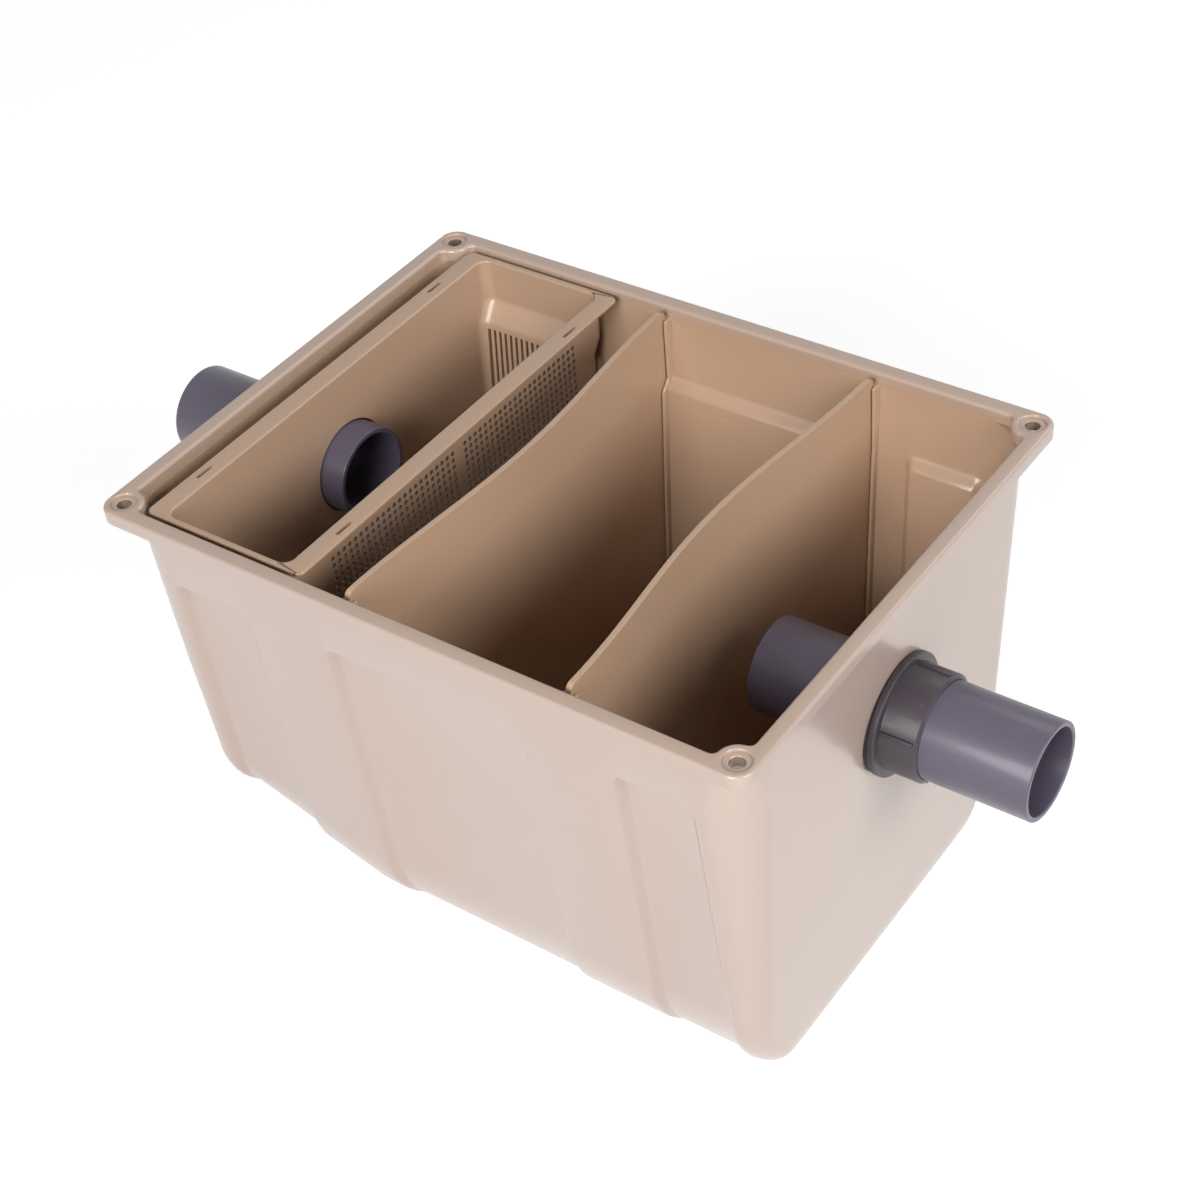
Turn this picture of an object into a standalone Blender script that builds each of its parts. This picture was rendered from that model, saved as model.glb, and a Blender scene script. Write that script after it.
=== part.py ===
# Under-sink grease trap without its lid: a tapered tub with recessed wall panels,
# a perforated strainer basket, two bowed baffles and an inlet and an outlet pipe,
# each held by a flanged socket with a gasket.
# X runs along the flow from inlet to outlet, Y across, Z up. The origin is the middle
# of the foot of the tub. Depths are measured down from the top of the rim.
import math

import bmesh
import bpy
import numpy as np
from mathutils import Matrix, Vector

# Fits
FIT = 0.0003                 # gap between pieces that touch or seat
SINK = 0.0006                # how far an added boss or rib reaches into its wall

# Rim of the tub
RIM_LENGTH = 0.375
RIM_WIDTH = 0.287
RIM_HEIGHT = 0.268           # rim top above the foot
RIM_OVERHANG = 0.006         # rim outer face beyond the wall
RIM_PLATE = 0.003            # thickness of the rim's top
RIM_SKIRT = 0.008            # height of the turned-down edge
RIM_SKIRT_WALL = 0.0026
RIM_CORNER = 0.0095
RIM_INNER_CORNER = 0.018
RIM_EDGE_OUT = 0.0015        # rounding of the outer edge
RIM_EDGE_IN = 0.002          # rounding of the inner edge

# Walls and floor of the tub
WALL = 0.003
DRAFT_SIDE = 0.078           # lean of the long walls, per metre of depth
DRAFT_INLET = 0.026
DRAFT_OUTLET = 0.046
CORNER_TOP = 0.028           # upright corners, at the rim and at the foot
CORNER_FOOT = 0.010
FILLET_SIDE = 0.075          # long wall into floor
FILLET_END = 0.030           # end wall into floor
FILLET_STEPS = 7
CORNER_STEPS = 4
FLOOR_KINK = -0.070          # the floor rises from here towards the inlet
FLOOR_SLOPE = 0.42
RISE_START = 0.105           # the walls above this depth keep their full height

# Recessed panels of the long walls
PANEL_DEPTH = 0.005
PANEL_TOP = 0.041
PANEL_LEDGE = 0.008          # height of the sloping ledge above each panel
PANEL_EDGE = 0.006           # width of the smooth step at an upright edge
PANEL_FADE = math.radians(65)  # turn of the floor fillet where the recess has run out
PANEL_INLET_LENGTH = 0.0485
PANEL_MIDDLE_LENGTH = 0.124
PANEL_OUTLET_LENGTH = 0.0445

# Screw bosses in the corners of the rim
BOSS_INSET_X = 0.0097        # hole centre from the rim's outer face
BOSS_INSET_Y = 0.0103
BOSS_RADIUS = 0.0107
BOSS_FILLET = 0.003
BOSS_DEPTH = 0.007
SCREW_RADIUS = 0.0036
SCREW_SEAT_RADIUS = 0.0068
SCREW_SEAT_DEPTH = 0.0012
SCREW_STEPS = 16

# Baffles: upright sheets, bowed in plan
SHEET = 0.003
SHEET_COLUMNS = 14
END_GAP = 0.0032             # wall to the ends of the baffles and the basket, at the rim
BAFFLE_TOP = 0.0008
BAFFLE_CORNER = 0.004
INLET_BAFFLE_X = -0.0373
INLET_BAFFLE_BOW = 0.008
INLET_PASSAGE = 0.045        # free height under the sheet
OUTLET_BAFFLE_X = 0.089
OUTLET_BAFFLE_BOW = -0.010
OUTLET_PASSAGE = 0.060
RAIL_TOP = 0.006             # guide rails that hold the ends of the sheets
RAIL_WALL = 0.0022
RAIL_COVER = 0.003
RAIL_STOP = 0.003

# Strainer basket
BASKET_LENGTH = 0.0999
BASKET_DEPTH = 0.150
BASKET_TOP = 0.0021          # flange top below the rim top
BASKET_WALL = 0.002
BASKET_DRAFT = 0.02
BASKET_INLET_GAP = 0.013     # inlet wall of the tub to the flange
FLANGE_WIDTH = 0.0092        # flange beyond the long walls of the basket
FLANGE_LIP = 0.0015          # flange beyond its end walls
FLANGE_CORNER = 0.004
BASKET_CORNER = 0.008
BASKET_FILLET = 0.008
SHOULDER_TOP = 0.0270
SHOULDER_HEIGHT = 0.0115
LOWER_GAP = 0.0045           # stepped-in end wall to the tub's panel
GRIP_SLOT_LENGTH = 0.012
GRIP_SLOT_WIDTH = 0.002
GRIP_SLOT_Y = 0.093
END_SLOT_PITCH = 0.0037
END_SLOT_WIDTH = 0.0017
END_SLOT_TOP = 0.0415
END_SLOT_MARGIN = 0.0053
SIEVE_TOP = 0.0173
SIEVE_PITCH = 0.0129
SIEVE_HOLE = 0.0039          # radius
SIEVE_SIDES = 6
SIEVE_MARGIN = 0.024         # unpierced width at each end of the wall
SIEVE_STRIP = 0.012          # unpierced strip in the middle
SIEVE_FOOT = 0.016
SEAT_RIB = 0.0017
SEAT_RIB_LANDS = (0, 10)     # lands between the end slots that carry a seat rib

# Pipes and their sockets
PIPE_RADIUS = 0.025
PIPE_WALL = 0.0029
PIPE_CHAMFER = 0.0006
PIPE_REACH = 0.2585          # outer pipe ends from the middle of the tub
INLET_DEPTH = 0.058
INLET_PROUD = 0.0155         # pipe end inside the basket, past its wall
BASKET_HOLE_GAP = 0.001
OUTLET_DEPTH = 0.082
OUTLET_INSIDE = 0.065        # pipe length inside the wall
GASKET_THICKNESS = 0.0016
GASKET_RADIUS = 0.0312
SOCKET_FLANGE = 0.0035
SOCKET_RADIUS = 0.0318
COLLAR_LENGTH = 0.0195
COLLAR_RADIUS = 0.0275
COLLAR_CHAMFER = 0.0015
EDGE_BEVEL = 0.0008
SOCKET_RIB = 0.0020
SOCKET_RIB_HEIGHT = 0.0016
SOCKET_RIB_ANGLE = math.radians(68)
SOCKET_RIB_COUNT = 4
ROUND_STEPS = 48

# Values that follow from the sizes above
INNER_TOP_X = RIM_LENGTH / 2 - RIM_OVERHANG - WALL
INNER_TOP_Y = RIM_WIDTH / 2 - RIM_OVERHANG - WALL
RIM_BAND_INNER = RIM_OVERHANG + WALL - RIM_EDGE_IN
TANGENT_TOP = RIM_LENGTH / 2 - RIM_OVERHANG - CORNER_TOP
SHEET_END = INNER_TOP_Y - END_GAP

for old in list(bpy.data.objects):
    bpy.data.objects.remove(old, do_unlink=True)

parts = bpy.data.collections.new("grease_trap")
cutters = bpy.data.collections.new("grease_trap_cutters")
for collection in (parts, cutters):
    bpy.context.scene.collection.children.link(collection)


def material(name, color, roughness):
    made = bpy.data.materials.new(name)
    made.use_nodes = True
    shader = made.node_tree.nodes["Principled BSDF"]
    shader.inputs["Base Color"].default_value = (*color, 1.0)
    shader.inputs["Roughness"].default_value = roughness
    shader.inputs["Metallic"].default_value = 0.0
    return made


def add_part(name, mesh, color, roughness):
    piece = bpy.data.objects.new(name, mesh)
    mesh.materials.append(material(name + "_plastic", color, roughness))
    parts.objects.link(piece)
    return piece


def add_cutter(name, mesh):
    cutter = bpy.data.objects.new(name, mesh)
    cutters.objects.link(cutter)
    cutter.hide_render = True
    cutter.display_type = "WIRE"
    return cutter


def combine(target, other, operation):
    step = target.modifiers.new(operation.lower() + "_" + other.name, "BOOLEAN")
    step.operation = operation
    step.solver = "EXACT"
    step.object = other


def finish_mesh(bm, name):
    bmesh.ops.recalc_face_normals(bm, faces=bm.faces)
    mesh = bpy.data.meshes.new(name)
    bm.to_mesh(mesh)
    bm.free()
    mesh.shade_smooth()
    mesh.set_sharp_from_angle(angle=math.radians(28))
    return mesh


# Skin over a row of closed sections. End faces are strips across the width when the
# sections mirror about Y, flat faces otherwise; a row without ends closes on itself.
def loft(name, rings, ends="flat"):
    bm = bmesh.new()
    rows = [[bm.verts.new(point) for point in ring] for ring in rings]
    count = len(rows[0])
    pairs = list(zip(rows, rows[1:]))
    if ends == "none":
        pairs.append((rows[-1], rows[0]))
    for low, high in pairs:
        for i in range(count):
            j = (i + 1) % count
            bm.faces.new((low[i], low[j], high[j], high[i]))
    for row in (rows[0], rows[-1]) if ends != "none" else ():
        if ends == "flat":
            bm.faces.new(row)
            continue
        for i in range(count // 2 - 1):
            bm.faces.new((row[i], row[i + 1], row[count - 2 - i], row[count - 1 - i]))
    return finish_mesh(bm, name)


def arc(center_x, center_y, radius, start, end, steps):
    angles = [start + (end - start) * k / steps for k in range(steps + 1)]
    return [(center_x + radius * math.cos(a), center_y + radius * math.sin(a)) for a in angles]


def mirrored(half):
    return half + [(x, -y, z) for x, y, z in reversed(half)]


# Tub: sections from the foot up the outside, over the rim and down the inside

def smooth(t):
    return t * t * (3 - 2 * t)


# Long side from corner to corner as (x, share of the panel's depth)
def side_stations(tangent_in, tangent_out):
    thirds = (1 / 3, 2 / 3, 1)
    half = PANEL_MIDDLE_LENGTH / 2
    inlet_end = -TANGENT_TOP + PANEL_INLET_LENGTH
    outlet_start = TANGENT_TOP - PANEL_OUTLET_LENGTH
    rise = [(PANEL_EDGE * t, smooth(t)) for t in thirds]
    full_rise = [(0.0, 0.0)] + rise
    full_fall = [(-x, share) for x, share in reversed(full_rise)]
    row = [(tangent_in + x, share) for x, share in rise]
    row += [(inlet_end + x, share) for x, share in full_fall]
    row += [(FLOOR_KINK, 0.0)]
    row += [(-half + x, share) for x, share in full_rise]
    row += [(half + x, share) for x, share in full_fall]
    row += [(outlet_start + x, share) for x, share in full_rise]
    row += [(tangent_out + x, share) for x, share in full_fall[:-1]]
    return row


def in_panel(x):
    row = side_stations(-TANGENT_TOP, TANGENT_TOP)
    return float(np.interp(x, [p[0] for p in row], [p[1] for p in row]))


# Heights at which the wall has a section: (depth, turn of the floor fillet, ledge share)
def wall_levels():
    fillet_top = RIM_HEIGHT - FILLET_SIDE
    straight = [
        (PANEL_TOP, 0.0),
        (PANEL_TOP + PANEL_LEDGE / 2, 0.5),
        (PANEL_TOP + PANEL_LEDGE, 1.0),
        (RISE_START, 1.0),
        (fillet_top, 1.0),
    ]
    turns = [math.pi / 2 * k / FILLET_STEPS for k in range(1, FILLET_STEPS + 1)]
    return [(d, 0.0, share) for d, share in straight] + [(fillet_top, t, 1.0) for t in turns]


def wall_point(level, inset, share):
    depth, turn, ledge = level
    recess = PANEL_DEPTH * share * ledge * smooth(max(0.0, 1.0 - turn / PANEL_FADE))
    radius = FILLET_SIDE - inset - recess
    half = RIM_WIDTH / 2 - RIM_OVERHANG - DRAFT_SIDE * depth
    half -= FILLET_SIDE - radius * math.cos(turn)
    return half, depth + radius * math.sin(turn)


def end_walls(depth, inset):
    over = max(0.0, depth - (RIM_HEIGHT - FILLET_END))
    radius = FILLET_END - inset
    back = FILLET_END - math.sqrt(max(0.0, radius ** 2 - over ** 2))
    face = RIM_LENGTH / 2 - RIM_OVERHANG - back
    return -face + DRAFT_INLET * depth, face - DRAFT_OUTLET * depth


def height(x, depth):
    rise = FLOOR_SLOPE * max(0.0, FLOOR_KINK - x)
    under = max(0.0, depth - RISE_START)
    full = RIM_HEIGHT - RISE_START
    return RIM_HEIGHT - min(depth, RISE_START) - under * (full - rise) / full


def wall_ring(level, inset, corner=None):
    half, depth = wall_point(level, inset, 0.0)
    inlet, outlet = end_walls(depth, inset)
    if corner is None:
        corner = CORNER_TOP + (CORNER_FOOT - CORNER_TOP) * depth / RIM_HEIGHT - inset
    inlet_arc = arc(inlet + corner, half - corner, corner, math.pi, math.pi / 2, CORNER_STEPS)
    outlet_arc = arc(outlet - corner, half - corner, corner, math.pi / 2, 0.0, CORNER_STEPS)
    ring = [(x, y, height(x, depth)) for x, y in inlet_arc]
    for x, share in side_stations(inlet + corner, outlet - corner):
        y, own_depth = wall_point(level, inset, share)
        ring.append((x, y, height(x, own_depth)))
    ring += [(x, y, height(x, depth)) for x, y in outlet_arc]
    return mirrored(ring)


def rim_ring(inset, depth, corner):
    end = RIM_LENGTH / 2 - inset
    half = RIM_WIDTH / 2 - inset
    z = RIM_HEIGHT - depth
    inlet_arc = arc(-end + corner, half - corner, corner, math.pi, math.pi / 2, CORNER_STEPS)
    outlet_arc = arc(end - corner, half - corner, corner, math.pi / 2, 0.0, CORNER_STEPS)
    side = [(x, half) for x, share in side_stations(-end + corner, end - corner)]
    return mirrored([(x, y, z) for x, y in inlet_arc + side + outlet_arc])


def inner_half_width(x, depth):
    share = in_panel(x)
    levels = [(0.0, 0.0, 0.0)] + wall_levels()
    rows = [wall_point(level, WALL, share) for level in levels]
    return float(np.interp(depth, [row[1] for row in rows], [row[0] for row in rows]))


def tub_rings():
    levels = wall_levels()
    rings = [wall_ring(level, 0.0) for level in reversed(levels)]
    rings.append(wall_ring((RIM_PLATE, 0.0, 0.0), 0.0))
    skirt_corner = RIM_CORNER - RIM_SKIRT_WALL
    rings.append(rim_ring(RIM_SKIRT_WALL, RIM_PLATE, skirt_corner))
    rings.append(rim_ring(RIM_SKIRT_WALL, RIM_SKIRT, skirt_corner))
    rings.append(rim_ring(0.0, RIM_SKIRT, RIM_CORNER))
    for turn in (0.0, math.pi / 4, math.pi / 2):
        inset = RIM_EDGE_OUT * (1 - math.cos(turn))
        depth = RIM_EDGE_OUT * (1 - math.sin(turn))
        rings.append(rim_ring(inset, depth, RIM_CORNER - inset))
    for turn in (0.0, math.pi / 4):
        inset = RIM_BAND_INNER + RIM_EDGE_IN * math.sin(turn)
        depth = RIM_EDGE_IN * (1 - math.cos(turn))
        rings.append(rim_ring(inset, depth, RIM_INNER_CORNER))
    rings.append(wall_ring((RIM_EDGE_IN, 0.0, 0.0), WALL, RIM_INNER_CORNER))
    rings += [wall_ring(level, WALL) for level in levels]
    return rings


# Corner boss: a disc around the screw hole, filleted into the two rim edges and
# closed off inside the turned-down edge
def boss_outline():
    center_x = RIM_LENGTH / 2 - BOSS_INSET_X
    center_y = RIM_WIDTH / 2 - BOSS_INSET_Y
    line_x = INNER_TOP_X + SINK
    line_y = INNER_TOP_Y + SINK
    reach = BOSS_RADIUS + BOSS_FILLET
    side_dy = line_y - BOSS_FILLET - center_y
    side_x = center_x - math.sqrt(reach ** 2 - side_dy ** 2)
    end_dx = line_x - BOSS_FILLET - center_x
    end_y = center_y - math.sqrt(reach ** 2 - end_dx ** 2)
    side_angle = math.atan2(side_dy, side_x - center_x) % (2 * math.pi)
    end_angle = math.atan2(end_y - center_y, end_dx) % (2 * math.pi)
    back = RIM_SKIRT_WALL / 2
    corner = RIM_CORNER - back
    outer_x = RIM_LENGTH / 2 - back
    outer_y = RIM_WIDTH / 2 - back
    points = arc(side_x, line_y - BOSS_FILLET, BOSS_FILLET, math.pi / 2, side_angle - math.pi, 3)
    points += arc(center_x, center_y, BOSS_RADIUS, side_angle, end_angle, 9)[1:-1]
    points += arc(line_x - BOSS_FILLET, end_y, BOSS_FILLET, end_angle - math.pi, 0.0, 3)
    points.append((outer_x, end_y))
    points += arc(outer_x - corner, outer_y - corner, corner, 0.0, math.pi / 2, 4)
    points.append((side_x, outer_y))
    return points


def boss(sign_x, sign_y):
    low = RIM_HEIGHT - BOSS_DEPTH
    outline = [(sign_x * x, sign_y * y) for x, y in boss_outline()]
    rings = [[(x, y, z) for x, y in outline] for z in (low, RIM_HEIGHT)]
    return add_cutter("boss", loft("boss", rings))


def screw_hole(sign_x, sign_y):
    bm = bmesh.new()
    seat_top = SCREW_SEAT_DEPTH
    profile = [(0.0, seat_top), (SCREW_SEAT_RADIUS, seat_top), (SCREW_SEAT_RADIUS, -seat_top),
               (SCREW_RADIUS, -seat_top), (SCREW_RADIUS, -2 * RIM_SKIRT), (0.0, -2 * RIM_SKIRT)]
    row = [bm.verts.new((radius, 0.0, z)) for radius, z in profile]
    edges = [bm.edges.new(pair) for pair in zip(row, row[1:])]
    bmesh.ops.spin(bm, geom=row + edges, cent=(0, 0, 0), axis=(0, 0, 1),
                   angle=2 * math.pi, steps=SCREW_STEPS, use_merge=True)
    bmesh.ops.remove_doubles(bm, verts=bm.verts, dist=1e-6)
    cutter = add_cutter("screw_hole", finish_mesh(bm, "screw_hole"))
    cutter.location = (sign_x * (RIM_LENGTH / 2 - BOSS_INSET_X),
                       sign_y * (RIM_WIDTH / 2 - BOSS_INSET_Y), RIM_HEIGHT)
    return cutter


# Baffles and the rails that hold them

def baffle_bottom(passage):
    return RIM_HEIGHT - WALL - passage


def baffle_half_width(x, depth):
    return min(SHEET_END, inner_half_width(x, depth) - 2 * FIT)


def depths_between(top, bottom):
    levels = [wall_point(level, WALL, 0.0)[1] for level in wall_levels()]
    extra = [wall_point(level, WALL, 1.0)[1] for level in wall_levels()]
    inside = sorted(d for d in set(levels + extra) if top + 0.001 < d < bottom - 0.001)
    return [top] + inside + [bottom]


# Open sheet bowed along X: straight at its ends, furthest out in the middle
def sheet_mesh(name, x, bow, top, bottom, grow, corner):
    columns = [2 * k / SHEET_COLUMNS - 1 for k in range(SHEET_COLUMNS + 1)]
    bm = bmesh.new()
    rows = []
    for depth in depths_between(top, bottom):
        half = baffle_half_width(x, max(depth, BAFFLE_TOP)) + grow
        flat = half - BAFFLE_CORNER
        ends = [flat + BAFFLE_CORNER * math.sin(math.pi / 6 * k) for k in (1, 2, 3)]
        across = [-y for y in reversed(ends)] + [c * flat for c in columns] + ends
        row = []
        for y in across:
            drop = 0.0
            if depth == top and abs(y) > flat:
                drop = corner * (1 - math.sqrt(max(0.0, 1 - ((abs(y) - flat) / BAFFLE_CORNER) ** 2)))
            offset = bow * (1 + math.cos(math.pi * y / half)) / 2
            row.append(bm.verts.new((x + offset, y, RIM_HEIGHT - depth - drop)))
        rows.append(row)
    for low, high in zip(rows, rows[1:]):
        for i in range(len(low) - 1):
            bm.faces.new((low[i], low[i + 1], high[i + 1], high[i]))
    return finish_mesh(bm, name)


def thicken(sheet, thickness):
    shell = sheet.modifiers.new("thickness", "SOLIDIFY")
    shell.thickness = thickness
    shell.offset = 0.0


def make_baffle(name, x, bow, passage):
    mesh = sheet_mesh(name, x, bow, BAFFLE_TOP, baffle_bottom(passage), 0.0, BAFFLE_CORNER)
    sheet = add_part(name, mesh, (0.47, 0.33, 0.22), 0.35)
    thicken(sheet, SHEET)


def baffle_slot(x, bow, passage):
    bottom = baffle_bottom(passage) + FIT
    mesh = sheet_mesh("baffle_slot", x, bow, -SHEET, bottom, FIT, 0.0)
    cutter = add_cutter("baffle_slot", mesh)
    thicken(cutter, SHEET + 2 * FIT)
    return cutter


def rail(x, passage, side):
    bottom = baffle_bottom(passage) + FIT + RAIL_STOP
    reach = SHEET / 2 + FIT + RAIL_WALL
    rings = []
    for depth in depths_between(RAIL_TOP, bottom):
        near = baffle_half_width(x, depth) - RAIL_COVER
        far = inner_half_width(x, depth) + SINK
        z = RIM_HEIGHT - depth
        corners = [(x - reach, near), (x + reach, near), (x + reach, far), (x - reach, far)]
        rings.append([(px, side * py, z) for px, py in corners])
    return add_cutter("rail", loft("rail", rings))


def pipe_hole(name, center_x, depth, radius):
    bm = bmesh.new()
    turn = Matrix.Rotation(math.pi / 2, 4, "Y")
    bmesh.ops.create_cone(bm, cap_ends=True, segments=ROUND_STEPS, radius1=radius, radius2=radius,
                          depth=10 * WALL, matrix=turn)
    cutter = add_cutter(name, finish_mesh(bm, name))
    cutter.location = (center_x, 0.0, RIM_HEIGHT - depth)
    return cutter


def make_tub():
    tub = add_part("tub", loft("tub", tub_rings(), "strips"), (0.47, 0.33, 0.22), 0.35)
    baffles = ((INLET_BAFFLE_X, INLET_BAFFLE_BOW, INLET_PASSAGE),
               (OUTLET_BAFFLE_X, OUTLET_BAFFLE_BOW, OUTLET_PASSAGE))
    corners = [(sx, sy) for sx in (-1, 1) for sy in (-1, 1)]
    for x, bow, passage in baffles:
        for side in (-1, 1):
            combine(tub, rail(x, passage, side), "UNION")
    for sign_x, sign_y in corners:
        combine(tub, boss(sign_x, sign_y), "UNION")
    for x, bow, passage in baffles:
        combine(tub, baffle_slot(x, bow, passage), "DIFFERENCE")
    for sign_x, sign_y in corners:
        combine(tub, screw_hole(sign_x, sign_y), "DIFFERENCE")
    inlet_wall = end_walls(INLET_DEPTH, WALL / 2)[0]
    outlet_wall = end_walls(OUTLET_DEPTH, WALL / 2)[1]
    hole = PIPE_RADIUS + FIT
    combine(tub, pipe_hole("inlet_hole", inlet_wall, INLET_DEPTH, hole), "DIFFERENCE")
    combine(tub, pipe_hole("outlet_hole", outlet_wall, OUTLET_DEPTH, hole), "DIFFERENCE")


# Strainer basket

BASKET_X0 = -INNER_TOP_X + BASKET_INLET_GAP
BASKET_X1 = BASKET_X0 + BASKET_LENGTH
BASKET_INLET_WALL = BASKET_X0 + FLANGE_WIDTH
BASKET_OUTLET_WALL = BASKET_X1 - FLANGE_WIDTH
BASKET_END = SHEET_END - FLANGE_LIP


def rounded_rectangle(x0, x1, half, corner, z):
    quarter = math.pi / 2
    centers = ((x0 + corner, -half + corner, 2), (x1 - corner, -half + corner, 3),
               (x1 - corner, half - corner, 4), (x0 + corner, half - corner, 5))
    ring = []
    for x, y, turn in centers:
        ring += arc(x, y, corner, turn * quarter, (turn + 1) * quarter, CORNER_STEPS)
    return [(x, y, z) for x, y in ring]


def lower_end(depth):
    panel = INNER_TOP_Y - PANEL_DEPTH - DRAFT_SIDE * depth
    return panel - LOWER_GAP


def basket_ring(depth, half, inset, pull=0.0):
    lean = BASKET_DRAFT * depth
    corner = max(BASKET_CORNER - inset, 0.001)
    return rounded_rectangle(BASKET_INLET_WALL + lean + inset + pull,
                             BASKET_OUTLET_WALL - lean - inset - pull,
                             half - inset - pull, corner, RIM_HEIGHT - depth)


def basket_rings():
    flange_z = RIM_HEIGHT - BASKET_TOP
    shoulder_end = SHOULDER_TOP + SHOULDER_HEIGHT
    fillet_top = BASKET_DEPTH - BASKET_FILLET
    turns = [math.pi / 6 * k for k in (3, 2, 1)]
    rings = []
    for turn in turns:
        depth = fillet_top + BASKET_FILLET * math.sin(turn)
        pull = BASKET_FILLET * (1 - math.cos(turn))
        rings.append(basket_ring(depth, lower_end(fillet_top), 0.0, pull))
    rings.append(basket_ring(fillet_top, lower_end(fillet_top), 0.0))
    rings.append(basket_ring(shoulder_end, lower_end(shoulder_end), 0.0))
    rings.append(basket_ring(SHOULDER_TOP, BASKET_END, 0.0))
    rings.append(basket_ring(BASKET_TOP + BASKET_WALL, BASKET_END, 0.0))
    for z in (flange_z - BASKET_WALL, flange_z):
        rings.append(rounded_rectangle(BASKET_X0, BASKET_X1, SHEET_END, FLANGE_CORNER, z))
    rings.append(basket_ring(BASKET_TOP, BASKET_END, BASKET_WALL))
    rings.append(basket_ring(SHOULDER_TOP - FIT, BASKET_END, BASKET_WALL))
    rings.append(basket_ring(shoulder_end - FIT, lower_end(shoulder_end), BASKET_WALL))
    rings.append(basket_ring(fillet_top, lower_end(fillet_top), BASKET_WALL))
    for turn in reversed(turns):
        radius = BASKET_FILLET - BASKET_WALL
        depth = fillet_top + radius * math.sin(turn)
        pull = radius * (1 - math.cos(turn))
        rings.append(basket_ring(depth, lower_end(fillet_top), BASKET_WALL, pull))
    return rings


def box(bm, low, high):
    size = [b - a for a, b in zip(low, high)]
    middle = Vector([(a + b) / 2 for a, b in zip(low, high)])
    place = Matrix.Translation(middle) @ Matrix.Diagonal((*size, 1.0))
    bmesh.ops.create_cube(bm, size=1.0, matrix=place)


def end_slot_places():
    first = BASKET_INLET_WALL + BASKET_WALL + END_SLOT_MARGIN
    last = BASKET_OUTLET_WALL - BASKET_WALL - END_SLOT_MARGIN
    count = int((last - first) / END_SLOT_PITCH) + 1
    return [first + END_SLOT_PITCH * k for k in range(count)]


def basket_slots():
    bm = bmesh.new()
    bottom = RIM_HEIGHT - BASKET_DEPTH + 2 * BASKET_FILLET
    for x in end_slot_places():
        half = END_SLOT_WIDTH / 2
        box(bm, (x - half, -SHEET_END, bottom), (x + half, SHEET_END, RIM_HEIGHT - END_SLOT_TOP))
    for x in (BASKET_X0 + FLANGE_WIDTH / 2, BASKET_X1 - FLANGE_WIDTH / 2):
        for y in (-GRIP_SLOT_Y, GRIP_SLOT_Y):
            top = RIM_HEIGHT - BASKET_TOP
            box(bm, (x - GRIP_SLOT_WIDTH / 2, y - GRIP_SLOT_LENGTH / 2, top - 2 * BASKET_WALL),
                (x + GRIP_SLOT_WIDTH / 2, y + GRIP_SLOT_LENGTH / 2, top + BASKET_WALL))
    return add_cutter("basket_slots", finish_mesh(bm, "basket_slots"))


def spread(start, end, pitch):
    count = int((end - start) / pitch)
    spare = (end - start - count * pitch) / 2
    return [start + spare + pitch * k for k in range(count + 1)]


def sieve_holes():
    bm = bmesh.new()
    turn = Matrix.Rotation(math.pi / 2, 4, "Y")
    field_end = BASKET_END - SIEVE_MARGIN - SIEVE_HOLE
    field_start = SIEVE_STRIP / 2 + SIEVE_HOLE
    columns = spread(field_start, field_end, SIEVE_PITCH)
    rows = spread(SIEVE_TOP + SIEVE_HOLE, BASKET_DEPTH - SIEVE_FOOT - SIEVE_HOLE, SIEVE_PITCH)
    for depth in rows:
        for y in [-c for c in reversed(columns)] + columns:
            x = BASKET_OUTLET_WALL - BASKET_DRAFT * depth
            place = Matrix.Translation((x, y, RIM_HEIGHT - depth)) @ turn
            bmesh.ops.create_cone(bm, cap_ends=True, segments=SIEVE_SIDES, radius1=SIEVE_HOLE,
                                  radius2=SIEVE_HOLE, depth=4 * BASKET_WALL, matrix=place)
    return add_cutter("sieve_holes", finish_mesh(bm, "sieve_holes"))


# Upright ribs under the shoulder; they stand on the sloping ledge of the tub's panel
def seat_ribs():
    ledge_top = inner_half_width(-TANGENT_TOP + PANEL_INLET_LENGTH / 2, PANEL_TOP)
    ledge_foot = inner_half_width(-TANGENT_TOP + PANEL_INLET_LENGTH / 2, PANEL_TOP + PANEL_LEDGE)
    slope = PANEL_LEDGE / (ledge_top - ledge_foot)
    lift = FIT * math.hypot(1.0, slope)
    near = lower_end(PANEL_TOP) - SINK
    far = BASKET_END - SINK
    step_in = BASKET_END - lower_end(SHOULDER_TOP + SHOULDER_HEIGHT)
    top = [RIM_HEIGHT - SHOULDER_TOP - SHOULDER_HEIGHT * (BASKET_END - y) / step_in + SINK
           for y in (near, far)]
    made = []
    for land in SEAT_RIB_LANDS:
        x = end_slot_places()[land] - END_SLOT_PITCH / 2
        for side in (-1, 1):
            rings = []
            for edge in (x - SEAT_RIB / 2, x + SEAT_RIB / 2):
                foot = [RIM_HEIGHT - PANEL_TOP - (ledge_top - y) * slope + lift for y in (near, far)]
                outline = [(near, top[0]), (far, top[1]), (far, foot[1]), (near, foot[0])]
                rings.append([(edge, side * y, z) for y, z in outline])
            made.append(add_cutter("seat_rib", loft("seat_rib", rings)))
    return made


def make_basket():
    basket = add_part("strainer_basket", loft("strainer_basket", basket_rings()),
                      (0.47, 0.33, 0.22), 0.38)
    for rib in seat_ribs():
        combine(basket, rib, "UNION")
    combine(basket, basket_slots(), "DIFFERENCE")
    combine(basket, sieve_holes(), "DIFFERENCE")
    hole = PIPE_RADIUS + BASKET_HOLE_GAP
    combine(basket, pipe_hole("basket_hole", BASKET_INLET_WALL, INLET_DEPTH, hole), "DIFFERENCE")


# Pipes, sockets and gaskets. A turned profile is drawn along +X as (radius, place along
# the axis) and its axis is then laid along the flow.

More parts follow.
